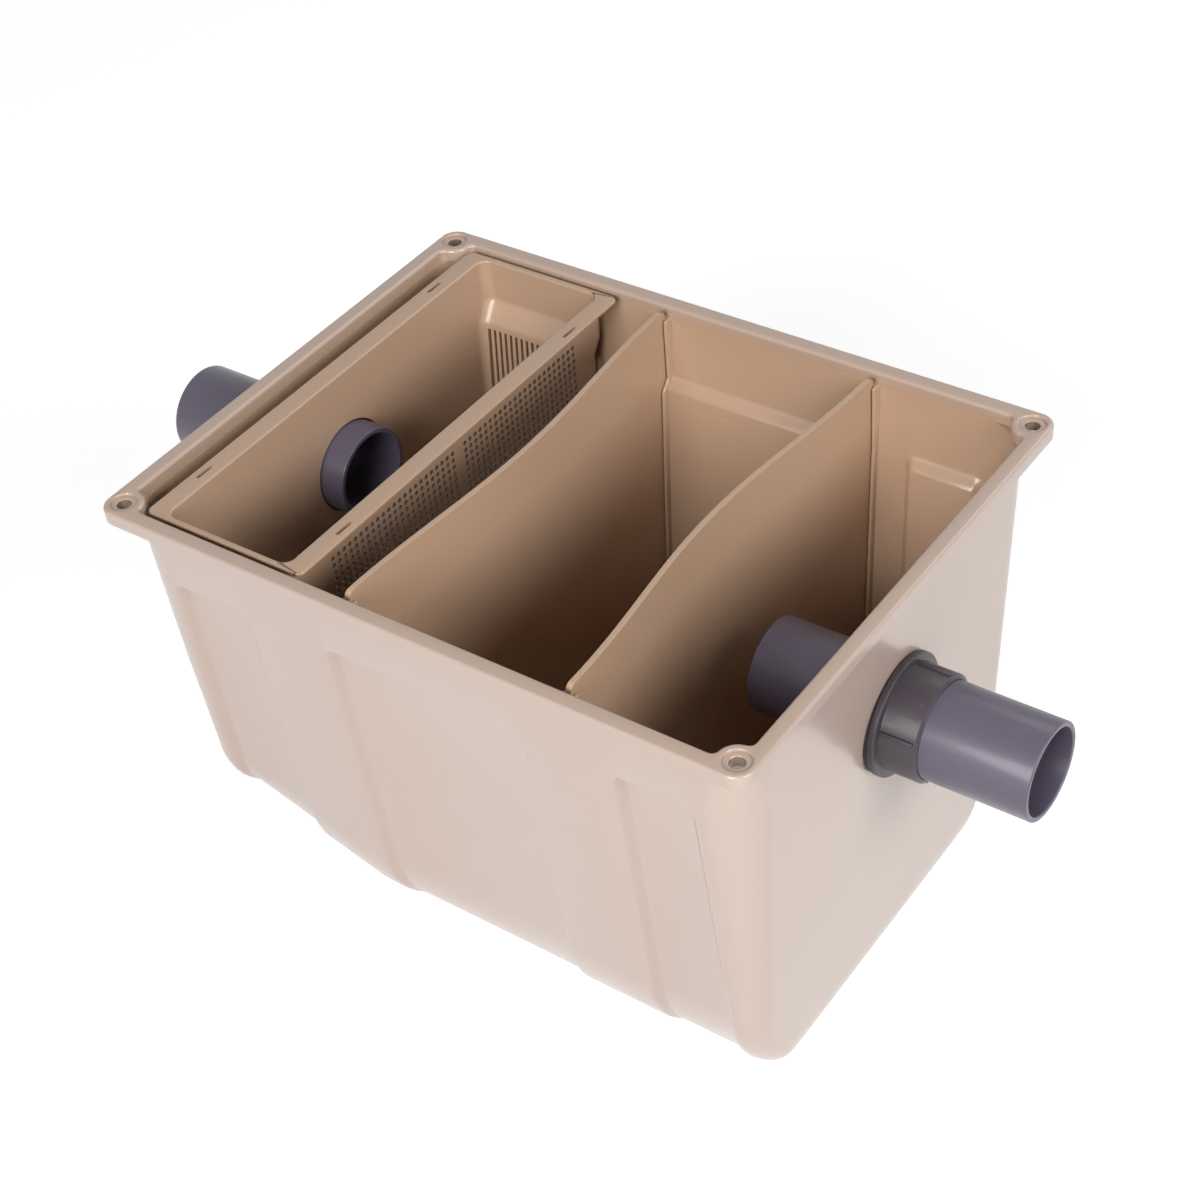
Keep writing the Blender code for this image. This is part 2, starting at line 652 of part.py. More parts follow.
def add_turned(name, profile, color, roughness, facing, x, depth):
    bm = bmesh.new()
    row = [bm.verts.new((radius, 0.0, along)) for radius, along in profile]
    for first, second in zip(row, row[1:] + row[:1]):
        bm.edges.new((first, second))
    mesh = bpy.data.meshes.new(name)
    bm.to_mesh(mesh)
    bm.free()
    piece = add_part(name, mesh, color, roughness)
    piece.rotation_euler = (0.0, facing * math.pi / 2, 0.0)
    piece.location = (x, 0.0, RIM_HEIGHT - depth)
    turn = piece.modifiers.new("turn", "SCREW")
    turn.axis = "Z"
    turn.angle = 2 * math.pi
    turn.steps = ROUND_STEPS
    turn.render_steps = ROUND_STEPS
    turn.use_merge_vertices = True
    turn.merge_threshold = 0.00001
    turn.use_smooth_shade = True
    return piece


def make_pipe(name, inner_end, outer_end, depth):
    length = abs(outer_end - inner_end)
    bore = PIPE_RADIUS - PIPE_WALL
    cut = PIPE_CHAMFER
    profile = [(PIPE_RADIUS - cut, length), (PIPE_RADIUS, length - cut), (PIPE_RADIUS, cut),
               (PIPE_RADIUS - cut, 0.0), (bore, 0.0), (bore, length)]
    facing = math.copysign(1.0, outer_end - inner_end)
    add_turned(name, profile, (0.075, 0.068, 0.085), 0.4, facing, inner_end, depth)


def make_socket(name, start, facing, depth):
    bore = PIPE_RADIUS + FIT
    face = SOCKET_FLANGE
    end = SOCKET_FLANGE + COLLAR_LENGTH
    profile = [(bore, end), (COLLAR_RADIUS - COLLAR_CHAMFER, end),
               (COLLAR_RADIUS, end - COLLAR_CHAMFER), (COLLAR_RADIUS, face),
               (SOCKET_RADIUS - EDGE_BEVEL, face), (SOCKET_RADIUS, face - EDGE_BEVEL),
               (SOCKET_RADIUS, 0.0), (bore, 0.0)]
    socket = add_turned(name, profile, (0.07, 0.063, 0.08), 0.42, facing, start, depth)
    for k in range(SOCKET_RIB_COUNT):
        bm = bmesh.new()
        box(bm, (COLLAR_RADIUS - SINK, -SOCKET_RIB / 2, face - SINK),
            (COLLAR_RADIUS + SOCKET_RIB_HEIGHT, SOCKET_RIB / 2, end - 2 * COLLAR_CHAMFER))
        angle = SOCKET_RIB_ANGLE + 2 * math.pi * k / SOCKET_RIB_COUNT
        bmesh.ops.rotate(bm, cent=(0, 0, 0), matrix=Matrix.Rotation(angle, 3, "Z"), verts=bm.verts)
        rib = add_cutter(name + "_rib", finish_mesh(bm, name + "_rib"))
        rib.rotation_euler = socket.rotation_euler
        rib.location = socket.location
        combine(socket, rib, "UNION")


# Gasket: a ring whose back follows the lean of the end wall
def make_gasket(name, wall_x, front, lean, depth):
    radii = (PIPE_RADIUS + FIT, GASKET_RADIUS)
    rings = []
    for radius, on_wall in ((radii[0], 0), (radii[1], 0), (radii[1], 1), (radii[0], 1)):
        ring = []
        for y, z in arc(0.0, 0.0, radius, 0.0, 2 * math.pi, ROUND_STEPS)[:-1]:
            x = wall_x + lean * z if on_wall else front
            ring.append((x, y, RIM_HEIGHT - depth + z))
        rings.append(ring)
    add_part(name, loft(name, rings, "none"), (0.02, 0.02, 0.022), 0.6)


def make_connection(kind, facing, lean, inner_end, depth):
    wall_x = end_walls(depth, 0.0)[0 if facing < 0 else 1] + facing * FIT
    front = wall_x + facing * GASKET_THICKNESS
    make_gasket(kind + "_gasket", wall_x, front, facing * lean, depth)
    make_socket(kind + "_flange", front + facing * FIT, facing, depth)
    make_pipe(kind + "_pipe", inner_end, facing * PIPE_REACH, depth)


make_tub()
make_basket()
make_baffle("inlet_baffle", INLET_BAFFLE_X, INLET_BAFFLE_BOW, INLET_PASSAGE)
make_baffle("outlet_baffle", OUTLET_BAFFLE_X, OUTLET_BAFFLE_BOW, OUTLET_PASSAGE)
inlet_end = BASKET_INLET_WALL + BASKET_WALL + INLET_PROUD
outlet_end = end_walls(OUTLET_DEPTH, WALL)[1] - OUTLET_INSIDE
make_connection("inlet", -1, DRAFT_INLET, inlet_end, INLET_DEPTH)
make_connection("outlet", 1, DRAFT_OUTLET, outlet_end, OUTLET_DEPTH)
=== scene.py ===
from functools import partial
from math import atan2, cos, hypot, pi, radians, sin, sqrt

import bmesh
import bpy
import numpy as np
from mathutils import Matrix, Vector


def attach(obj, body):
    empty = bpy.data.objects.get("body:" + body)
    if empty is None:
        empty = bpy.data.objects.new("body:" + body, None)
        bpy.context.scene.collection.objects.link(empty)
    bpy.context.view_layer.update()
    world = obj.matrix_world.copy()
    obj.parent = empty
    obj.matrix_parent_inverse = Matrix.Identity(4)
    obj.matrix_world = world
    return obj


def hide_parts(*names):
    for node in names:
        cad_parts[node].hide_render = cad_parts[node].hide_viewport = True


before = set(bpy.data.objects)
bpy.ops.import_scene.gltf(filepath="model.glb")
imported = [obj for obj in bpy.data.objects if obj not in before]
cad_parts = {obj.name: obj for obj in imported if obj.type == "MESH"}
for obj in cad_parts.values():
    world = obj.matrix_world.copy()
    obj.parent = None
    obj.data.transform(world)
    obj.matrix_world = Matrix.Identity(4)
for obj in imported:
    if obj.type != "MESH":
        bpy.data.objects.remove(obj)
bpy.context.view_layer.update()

# Grease trap without its lid, in metres: X along the flow, Y across, Z up, foot at z = 0.
# Depths are measured down from the top of the rim.
quarter = pi / 2
fit = 0.0003      # clearance between pieces
sunk = 0.0006     # how far rails and ribs reach into the wall that carries them
beyond = 0.002    # how far a cutter reaches past the face that it cuts


# small helpers

def smooth(t):
    return t * t * (3 - 2 * t)


def steps(count):
    return [k / count for k in range(count + 1)]


def arc(centerX, centerY, radius, start, end, count):
    turns = [start + (end - start) * t for t in steps(count)]
    return [(centerX + radius * cos(a), centerY + radius * sin(a)) for a in turns]


# quarter round in shares of its radius: along one side, then along the other
def rounding(count):
    return [(1 - sin(quarter * t), 1 - cos(quarter * t)) for t in steps(count)]


def shade(mesh):
    mesh.shade_smooth()
    mesh.set_sharp_from_angle(angle=radians(30))


def meshFrom(bm, name, turnOut=True):
    if turnOut:
        bmesh.ops.recalc_face_normals(bm, faces=bm.faces)
    mesh = bpy.data.meshes.new(name)
    bm.to_mesh(mesh)
    bm.free()
    shade(mesh)
    return mesh


def addObject(name, mesh):
    made = bpy.data.objects.new(name, mesh)
    bpy.context.scene.collection.objects.link(made)
    return made


# open line with each inner corner replaced by a short curve
def eased(points, reach, count):
    line = [points[0]]
    for before, corner, after in zip(points, points[1:], points[2:]):
        middle = Vector(corner)
        start = middle + (Vector(before) - middle).normalized() * reach
        end = middle + (Vector(after) - middle).normalized() * reach
        line += [tuple(start.lerp(middle, t).lerp(middle.lerp(end, t), t)) for t in steps(count)]
    return line + [points[-1]]


# skin over a row of closed sections; ends are "flat", "strips" across the width, or "none"
def loft(name, rings, ends="flat"):
    bm = bmesh.new()
    rows = [[bm.verts.new(point) for point in ring] for ring in rings]
    count = len(rows[0])
    pairs = list(zip(rows, rows[1:]))
    if ends == "none":
        pairs.append((rows[-1], rows[0]))
    for low, high in pairs:
        for i in range(count):
            j = (i + 1) % count
            bm.faces.new((low[i], low[j], high[j], high[i]))
    for row in (rows[0], rows[-1]) if ends != "none" else ():
        if ends == "flat":
            bm.faces.new(row)
            continue
        for i in range(count // 2 - 1):
            bm.faces.new((row[i], row[i + 1], row[count - 2 - i], row[count - 1 - i]))
    return meshFrom(bm, name)


def combine(target, cutter, operation="DIFFERENCE"):
    step = target.modifiers.new("combine", "BOOLEAN")
    step.operation = operation
    step.solver = "EXACT"
    step.object = cutter


# freezes an object's modifiers into its mesh and drops the cutters
def freeze(target, cutters=()):
    bpy.context.view_layer.update()
    held = target.evaluated_get(bpy.context.evaluated_depsgraph_get())
    mesh = bpy.data.meshes.new_from_object(held)
    target.modifiers.clear()
    target.data = mesh
    for cutter in cutters:
        bpy.data.objects.remove(cutter)
    shade(mesh)
    return target


# one piece out of several closed meshes
def gather(name, meshes):
    bm = bmesh.new()
    for mesh in meshes:
        bm.from_mesh(mesh)
    return meshFrom(bm, name, turnOut=False)


def settle(piece, material, slot, *nodes):
    piece.data.materials.clear()
    piece.data.materials.append(material)
    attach(piece, "root")
    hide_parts(*nodes)
    print(piece.name + ":", len(piece.data.polygons), "faces")


# node helpers

# gives an input a plain value or the output of another node
def wire(value, target):
    if isinstance(value, bpy.types.NodeSocket):
        target.id_data.links.new(value, target)
    else:
        target.default_value = value


# wires inputs by name, with _ for a space
def feed(node, **inputs):
    for name, value in inputs.items():
        wire(value, node.inputs[name.replace("_", " ")])
    return node


def addNode(tree, kind, **inputs):
    return feed(tree.nodes.new(kind), **inputs)


def sums(operation, first, second, clamp=False, kind="ShaderNodeMath"):
    node = first.id_data.nodes.new(kind)
    node.operation = operation
    if clamp:
        node.use_clamp = True
    wire(first, node.inputs[0])
    wire(second, node.inputs[1])
    return node.outputs[0]


times, plus, minus = (partial(sums, name) for name in ("MULTIPLY", "ADD", "SUBTRACT"))


def mixColour(share, first, second):
    node = share.id_data.nodes.new("ShaderNodeMix")
    node.data_type = "RGBA"
    return feed(node, Factor=share, A=first, B=second).outputs["Result"]


# node group; each socket has a number, a vector, a colour or the name of its kind
def newGroup(name, kind, inputs, outputs):
    tree = bpy.data.node_groups.new(name, kind)
    kinds = {int: "Int", float: "Float"}
    for direction, sockets in (("INPUT", inputs), ("OUTPUT", outputs)):
        for title, value in sockets.items():
            if isinstance(value, tuple):
                sort = "Vector" if len(value) == 3 else "Color"
            else:
                sort = kinds.get(type(value), value)
            made = tree.interface.new_socket(name=title, in_out=direction,
                                             socket_type="NodeSocket" + sort)
            if not isinstance(value, str):
                made.default_value = value
    return tree, tree.nodes.new("NodeGroupInput").outputs, tree.nodes.new("NodeGroupOutput").inputs


# last nodes of a geometry tree: plain geometry with its material
def closeTree(tree, geometry, material, result):
    real = addNode(tree, "GeometryNodeRealizeInstances", Geometry=geometry)
    paint = addNode(tree, "GeometryNodeSetMaterial", Geometry=real.outputs["Geometry"],
                    Material=material)
    wire(paint.outputs["Geometry"], result["Geometry"])
    return tree


# tub

tub = dict(
    length=0.375, width=0.287, height=0.268,
    overhang=0.006, plate=0.003, skirt=0.008, skirtWall=0.0026,
    corner=0.0095, edgeOut=0.0015, edgeIn=0.002, plateEase=0.0015, plateFlare=0.0010,
    footInner=(0.0005, 0.0004), footOuter=(0.0006, 0.0001, 0.0005),
    wall=0.003, leanSide=0.078, leanInlet=0.026, leanOutlet=0.046,
    cornerTop=0.028, cornerFoot=0.010, filletSide=0.075, filletEnd=0.030,
    kink=-0.070, kinkEase=0.0035, slope=0.42, riseStart=0.105,
    filletSteps=22, cornerSteps=22,
)
panel = dict(depth=0.005, top=0.041, ledge=0.008, edge=0.006, fade=radians(65),
             inletEnd=-0.105, middleHalf=0.062, outletStart=0.109)
boss = dict(insetX=0.0097, insetY=0.0103, radius=0.0107, fillet=0.003, depth=0.007,
            hole=0.0036, seat=0.0068, seatDepth=0.0012, lip=0.0005, sides=36,
            blockFoot=0.0002, blockTop=0.0025, holeFoot=0.02)
tubTop, halfLength, halfWidth = tub["height"], tub["length"] / 2, tub["width"] / 2
innerTopX = halfLength - tub["overhang"] - tub["wall"]
innerTopY = halfWidth - tub["overhang"] - tub["wall"]
corners = [(x, y) for x in (-1, 1) for y in (-1, 1)]
tangentTop = halfLength - tub["overhang"] - tub["cornerTop"]


# long side from corner to corner as (x, share of the panel's depth)
def sideStations(first, last):
    rise = [(panel["edge"] * t, smooth(t)) for t in steps(7)]
    fall = [(-x, share) for x, share in reversed(rise)]
    row = [(first + x, share) for x, share in rise[1:]]
    row += [(panel["inletEnd"] + x, share) for x, share in fall]
    row += [(tub["kink"] + x, 0.0) for x in (-tub["kinkEase"], 0.0, tub["kinkEase"])]
    row += [(-panel["middleHalf"] + tub["kinkEase"] + x, share) for x, share in rise]
    row += [(panel["middleHalf"] + x, share) for x, share in fall]
    row += [(panel["outletStart"] + x, share) for x, share in rise]
    row += [(last + x, share) for x, share in fall[:-1]]
    return row


def inPanel(x):
    row = sideStations(-tangentTop, tangentTop)
    return float(np.interp(x, [p[0] for p in row], [p[1] for p in row]))


# heights at which the wall has a section: (depth, turn of the floor fillet, ledge share)
def wallLevels():
    filletTop = tubTop - tub["filletSide"]
    rows = [(panel["top"] + panel["ledge"] * t, 0.0, smooth(t)) for t in steps(8)]
    rows += [(tub["riseStart"], 0.0, 1.0), (filletTop, 0.0, 1.0)]
    return rows + [(filletTop, quarter * t, 1.0) for t in steps(tub["filletSteps"])[1:]]


def wallPoint(level, inset, share):
    depth, turn, ledge = level
    fade = smooth(max(0.0, 1.0 - turn / panel["fade"]))
    radius = tub["filletSide"] - inset - panel["depth"] * share * ledge * fade
    half = halfWidth - tub["overhang"] - tub["leanSide"] * depth
    half -= tub["filletSide"] - radius * cos(turn)
    return half, depth + radius * sin(turn)


def endWalls(depth, inset):
    over = max(0.0, depth - (tubTop - tub["filletEnd"]))
    radius = tub["filletEnd"] - inset
    back = tub["filletEnd"] - sqrt(max(0.0, radius ** 2 - over ** 2))
    face = halfLength - tub["overhang"] - back
    return -face + tub["leanInlet"] * depth, face - tub["leanOutlet"] * depth


# the floor rises towards the inlet from the kink, which is eased on both sides
def heightAt(x, depth):
    past = tub["kink"] - x
    ease = tub["kinkEase"]
    rise = tub["slope"] * (max(0.0, past) if abs(past) > ease else (past + ease) ** 2 / (4 * ease))
    under = max(0.0, depth - tub["riseStart"])
    full = tubTop - tub["riseStart"]
    return tubTop - min(depth, tub["riseStart"]) - under * (full - rise) / full


def mirrored(half):
    return half + [(x, -y, z) for x, y, z in reversed(half)]


def wallRing(level, inset):
    half, depth = wallPoint(level, inset, 0.0)
    inlet, outlet = endWalls(depth, inset)
    spread = tub["cornerTop"] - tub["cornerFoot"]
    corner = tub["cornerTop"] - spread * depth / tubTop - inset
    count = tub["cornerSteps"]
    ring = [(x, y, heightAt(x, depth))
            for x, y in arc(inlet + corner, half - corner, corner, pi, quarter, count)]
    for x, share in sideStations(inlet + corner, outlet - corner):
        y, ownDepth = wallPoint(level, inset, share)
        ring.append((x, y, heightAt(x, ownDepth)))
    ring += [(x, y, heightAt(x, depth))
             for x, y in arc(outlet - corner, half - corner, corner, quarter, 0.0, count)]
    return mirrored(ring)


def rimRing(inset, depth):
    end = halfLength - inset
    half = halfWidth - inset
    corner = tub["corner"] - inset
    count = tub["cornerSteps"]
    row = arc(-end + corner, half - corner, corner, pi, quarter, count)
    row += [(x, half) for x, share in sideStations(-end + corner, end - corner)]
    row += arc(end - corner, half - corner, corner, quarter, 0.0, count)
    return mirrored([(x, y, tubTop - depth) for x, y in row])


# inner edge of the rim, swung round the screw boss in each corner; back moves it outwards
def bossCorner(back):
    holeX = halfLength - boss["insetX"]
    holeY = halfWidth - boss["insetY"]
    fillet = boss["fillet"] + back
    radius = boss["radius"] - back
    lineX = innerTopX + back
    lineY = innerTopY + back
    reach = radius + fillet
    sideDy = lineY - fillet - holeY
    sideX = holeX - sqrt(reach ** 2 - sideDy ** 2)
    endDx = lineX - fillet - holeX
    endY = holeY - sqrt(reach ** 2 - endDx ** 2)
    sideTurn = atan2(sideDy, sideX - holeX) % (2 * pi)
    endTurn = atan2(endY - holeY, endDx) % (2 * pi)
    ends = 5
    middle = tub["cornerSteps"] - 2 * ends
    row = arc(sideX, lineY - fillet, fillet, quarter, sideTurn - pi, ends)
    row += arc(holeX, holeY, radius, sideTurn, endTurn, middle)[1:-1]
    row += arc(lineX - fillet, endY, fillet, endTurn - pi, 0.0, ends)
    return row


def bossRing(back, depth):
    corner = bossCorner(back)
    inlet = [(-x, y) for x, y in reversed(corner)]
    half = innerTopY + back
    side = [(x, half) for x, share in sideStations(inlet[-1][0], corner[0][0])]
    return mirrored([(x, y, tubTop - depth) for x, y in inlet + side + corner])


def innerHalfWidth(x, depth):
    share = inPanel(x)
    levels = [(0.0, 0.0, 0.0)] + wallLevels()
    rows = [wallPoint(level, tub["wall"], share) for level in levels]
    return float(np.interp(depth, [row[1] for row in rows], [row[0] for row in rows]))


def tubRings():
    levels = wallLevels()
    rings = [wallRing(level, 0.0) for level in reversed(levels)]
    inner, outer = tub["footInner"], tub["footOuter"]
    rings += [wallRing((tub["plate"] + tub["plateEase"], 0.0, 0.0), 0.0),
              wallRing((tub["plate"], 0.0, 0.0), -tub["plateFlare"]),
              rimRing(tub["skirtWall"], tub["plate"]),
              rimRing(tub["skirtWall"], tub["skirt"] - inner[1]),
              rimRing(tub["skirtWall"] - inner[0], tub["skirt"]),
              rimRing(outer[0], tub["skirt"]),
              rimRing(outer[1], tub["skirt"] - outer[2])]
    rings += [rimRing(tub["edgeOut"] * b, tub["edgeOut"] * a) for a, b in rounding(5)]
    rings += [bossRing(tub["edgeIn"] * a, tub["edgeIn"] * b) for a, b in rounding(6)]
    rings.append(bossRing(0.0, boss["depth"]))
    rings.append(wallRing((boss["depth"], 0.0, 0.0), tub["wall"]))
    return rings + [wallRing(level, tub["wall"]) for level in levels]


# solid block under each corner of the rim, between the wall and the turned-down edge
def bossBlocks():
    back = tub["skirtWall"] / 2
    corner = tub["corner"] - back
    endX, endY = halfLength - back, halfWidth - back
    inner = bossCorner(sunk)
    outline = inner + [(endX, inner[-1][1])]
    outline += arc(endX - corner, endY - corner, corner, 0.0, quarter, 12) + [(inner[0][0], endY)]
    blocks = []
    for signX, signY in corners:
        rings = [[(signX * x, signY * y, tubTop - depth) for x, y in outline]
                 for depth in (boss["depth"] - boss["blockFoot"], boss["blockTop"])]
        blocks.append(loft("bossBlock", rings))
    return addObject("bossBlocks", gather("bossBlocks", blocks))


# countersunk screw hole in each corner, turned about its axis
def screwHoles():
    lip, seatDepth = boss["lip"], boss["seatDepth"]
    profile = [(0.0, beyond), (boss["seat"] + lip, beyond), (boss["seat"] + lip, 0.0)]
    profile += [(boss["seat"] + lip * a, -lip * b) for a, b in rounding(3)[1:]]
    profile += [(boss["seat"], -seatDepth), (boss["hole"] + lip, -seatDepth),
                (boss["hole"], -seatDepth - lip), (boss["hole"], -boss["holeFoot"]),
                (0.0, -boss["holeFoot"])]
    holes = []
    for signX, signY in corners:
        place = Matrix.Translation((signX * (halfLength - boss["insetX"]),
                                    signY * (halfWidth - boss["insetY"]), tubTop))
        holes.append(turned("screwHole", profile, boss["sides"], place))
    return addObject("screwHoles", gather("screwHoles", holes))


# turned body from a profile of (radius, height), both ends on the axis or a loop
def turned(name, profile, count, place):
    bm = bmesh.new()
    row = [bm.verts.new((radius, 0.0, z)) for radius, z in profile]
    onAxis = profile[0][0] == 0.0
    pairs = list(zip(row, row[1:])) + ([] if onAxis else [(row[-1], row[0])])
    edges = [bm.edges.new(pair) for pair in pairs]
    bmesh.ops.spin(bm, geom=row + edges, cent=(0, 0, 0), axis=(0, 0, 1),
                   angle=2 * pi, steps=count, use_merge=True)
    bmesh.ops.remove_doubles(bm, verts=bm.verts, dist=1e-6)
    bmesh.ops.dissolve_degenerate(bm, edges=bm.edges, dist=1e-7)
    bmesh.ops.transform(bm, matrix=place, verts=bm.verts)
    return meshFrom(bm, name)


def pipeCutter(x, depth, radius, length):
    place = Matrix.Translation((x - length / 2, 0.0, tubTop - depth))
    place = place @ Matrix.Rotation(quarter, 4, "Y")
    profile = [(0.0, 0.0), (radius, 0.0), (radius, length), (0.0, length)]
    return addObject("pipeHole", turned("pipeHole", profile, pipes["holeSides"], place))


baffle = dict(
    sheet=0.003, endGap=0.0032, top=0.0008, corner=0.004, edge=0.0011,
    inlet=dict(x=-0.0373, bow=0.008, passage=0.045),
    outlet=dict(x=0.089, bow=-0.010, passage=0.060),
    railTop=0.006, railWall=0.0022, railCover=0.003, railStop=0.003, railEase=0.0006,
    lipGap=0.0001, closest=0.0008, margin=0.001,
)
sheetEnd = innerTopY - baffle["endGap"]


def baffleFoot(passage):
    return tubTop - tub["wall"] - passage


def baffleHalf(x, depth):
    return min(sheetEnd, innerHalfWidth(x, depth) - 2 * fit)


def baffleDepths(top, foot):
    inside = [wallPoint(level, tub["wall"], share)[1] for level in wallLevels() for share in (0, 1)]
    margin = baffle["margin"]
    inside = sorted(d for d in set(inside) if top + margin < d < foot - margin)
    kept = [top]
    for depth in inside + [foot]:
        if depth - kept[-1] > baffle["closest"] or depth == foot:
            kept.append(depth)
    return kept


# U-shaped guide that holds an end of a baffle, with rounded lips
def rail(kind, side):
    sizes = baffle[kind]
    x = sizes["x"]
    foot = baffleFoot(sizes["passage"]) + fit
    slot = baffle["sheet"] / 2 + fit
    reach = slot + baffle["railWall"]
    lip = baffle["railWall"] / 2 - baffle["lipGap"]
    top, ease = baffle["railTop"], baffle["railEase"]
    rings = []
    for depth in [top] + baffleDepths(top + ease, foot):
        shrink = ease if depth == top else 0.0
        half = baffleHalf(x, depth)
        near = half - baffle["railCover"] + lip
        far = innerHalfWidth(x, depth) + sunk
        outline = [(x - reach + shrink, far)]
        outline += arc(x - slot - lip, near, lip - shrink, pi, 2 * pi, 6)
        outline += [(x - slot, half + fit), (x + slot, half + fit)]
        outline += arc(x + slot + lip, near, lip - shrink, pi, 2 * pi, 6)
        outline += [(x + reach - shrink, far)]
        rings.append([(px, side * py, tubTop - depth) for px, py in outline])
    made = [loft("rail", rings)]
    rings = []
    for depth in (foot, foot + baffle["railStop"]):
        near = baffleHalf(x, depth) - baffle["railCover"]
        far = innerHalfWidth(x, depth) + sunk
        outline = ((x - reach, near), (x + reach, near), (x + reach, far), (x - reach, far))
        rings.append([(px, side * py, tubTop - depth) for px, py in outline])
    return made + [loft("railFoot", rings)]


pipes = dict(
    radius=0.025, wall=0.0029, lip=0.0007, reach=0.2585,
    inletDepth=0.058, inletProud=0.0155, basketGap=0.001,
    outletDepth=0.082, outletInside=0.065,
    gasket=0.0016, gasketRadius=0.0312, flange=0.0035, flangeRadius=0.0318,
    collar=0.0195, collarRadius=0.0275, chamfer=0.0015, bevel=0.0008,
    throat=0.0008, throatBend=0.0002, crest=0.0005, mouth=0.0003, gasketEdge=0.0003,
    ribs=4, ribWidth=0.0020, ribHeight=0.0016, ribTurn=radians(68), ribEdge=0.0004,
    sides=128, holeSides=96, holeDepth=0.03,
)


# how much painted sheen (a paler colour standing in for reflected light) a vertex gets from the way
# it faces, and the least on the rim
paintedSheenSizes = dict(middle=0.5, gain=2.0, tilt=0.5, rim=0.6)


# marks the vertices of the outer face for painted sheen, by the wall that each is nearest to,
# and below zero those in the screw holes for painted shade
def markPaintedLight(mesh, shellCount):
    count = len(mesh.vertices)
    place, facing = np.empty(3 * count), np.empty(3 * count)
    mesh.vertices.foreach_get("co", place)
    mesh.vertices.foreach_get("normal", facing)
    x, y, z = place.reshape(-1, 3).T
    facingX, facingY, facingZ = facing.reshape(-1, 3).T
    toEnd = tangentTop + tub["cornerTop"] - abs(x) - tub["leanOutlet"] * (tubTop - z)
    toSide = innerTopY + tub["wall"] - abs(y) - tub["leanSide"] * (tubTop - z)
    away = np.where(toEnd < toSide, np.sign(x) * facingX, np.sign(y) * facingY)
    away = away - paintedSheenSizes["tilt"] * facingZ
    share = (paintedSheenSizes["middle"] + paintedSheenSizes["gain"] * away).clip(0.0, 1.0)
    onRim = z > tubTop - tub["edgeIn"]
    share[onRim] = share[onRim].clip(paintedSheenSizes["rim"])
    fromHole = np.hypot(abs(x) - halfLength + boss["insetX"],
                        abs(y) - halfWidth + boss["insetY"])
    share[shellCount:] = 0.0
    # painted shade: the screw holes get -1, which darkens their colour
    share[fromHole < boss["hole"] + boss["lip"] / 2] = -1.0
    mesh.attributes.new("paintedSheenAndShade", "FLOAT", "POINT").data.foreach_set("value", share)


def makeTub(material):
    shell = addObject("tubShell", loft("tubShell", tubRings(), "strips"))
    blocks = bossBlocks()
    combine(shell, blocks, "UNION")
    cutters = [screwHoles()]
    for end, depth in enumerate((pipes["inletDepth"], pipes["outletDepth"])):
        cutters.append(pipeCutter(endWalls(depth, 0.0)[end], depth, pipes["radius"] + fit,
                                  pipes["holeDepth"]))
    for cutter in cutters:
        combine(shell, cutter)
    freeze(shell, [blocks] + cutters)
    guides = [mesh for kind in ("inlet", "outlet") for side in (-1, 1) for mesh in rail(kind, side)]
    shellCount = len(shell.data.vertices)
    shell.data = gather("tubShell", [shell.data] + guides)
    markPaintedLight(shell.data, shellCount)
    settle(shell, material, "tub_plastic", "tub")


# baffles: bowed sheets with rounded edges

def makeBaffle(kind, material):
    sizes = baffle[kind]
    x, foot = sizes["x"], baffleFoot(sizes["passage"])
    bm = bmesh.new()
    rows = []
    for depth in baffleDepths(baffle["top"], foot):
        half = baffleHalf(x, depth)
        flat = half - baffle["corner"]
        ends = [flat + baffle["corner"] * sin(quarter * t) for t in steps(8)[1:]]
        row = []
        for y in [-v for v in reversed(ends)] + [(2 * t - 1) * flat for t in steps(64)] + ends:
            drop = 0.0
            if depth == baffle["top"] and abs(y) > flat:
                share = min(1.0, (abs(y) - flat) / baffle["corner"])
                drop = baffle["corner"] * (1 - sqrt(1 - share ** 2))
            bow = sizes["bow"] * (1 + cos(pi * y / half)) / 2
            row.append(bm.verts.new((x + bow, y, tubTop - depth - drop)))
        rows.append(row)
    for low, high in zip(rows, rows[1:]):
        for i in range(len(low) - 1):
            bm.faces.new((low[i], low[i + 1], high[i + 1], high[i]))
    sheet = addObject(kind + "Sheet", meshFrom(bm, kind + "Sheet"))
    shell = sheet.modifiers.new("thickness", "SOLIDIFY")
    shell.thickness = baffle["sheet"]
    shell.offset = 0.0
    edge = sheet.modifiers.new("edge", "BEVEL")
    edge.width = baffle["edge"]
    edge.segments = 4
    edge.limit_method = "ANGLE"
    edge.angle_limit = radians(60)
    freeze(sheet)
    settle(sheet, material, "baffle_plastic", kind + "_baffle")


# strainer basket

basket = dict(
    length=0.0999, depth=0.150, top=0.0021, wall=0.002, lean=0.02,
    inletGap=0.013, flange=0.0092, flangeLip=0.0015, flangeCorner=0.004,
    corner=0.008, fillet=0.008, shoulderTop=0.0270, shoulder=0.0115, lowerGap=0.0045,
    shoulderEase=0.0016,
    edge=0.0006, innerEdge=0.0012, cornerSteps=10,
    gripLength=0.012, gripWidth=0.002, gripY=0.093,
    slotPitch=0.0037, slotWidth=0.0017, slotTop=0.0415, slotMargin=0.0053,
    ribWidth=0.0017, ribSink=0.0005, ribLands=(0, 10), pipeHole=0.02,
)
sieve = dict(columns=46, rows=27, pitch=0.0043, hole=0.0027, middle=0.0104,
             top=0.0173, margin=0.0016, rounding=0.49, behind=0.001, facing=0.2)
basketX0 = -innerTopX + basket["inletGap"]
basketX1 = basketX0 + basket["length"]
basketIn = basketX0 + basket["flange"]
basketOut = basketX1 - basket["flange"]
basketEnd = sheetEnd - basket["flangeLip"]


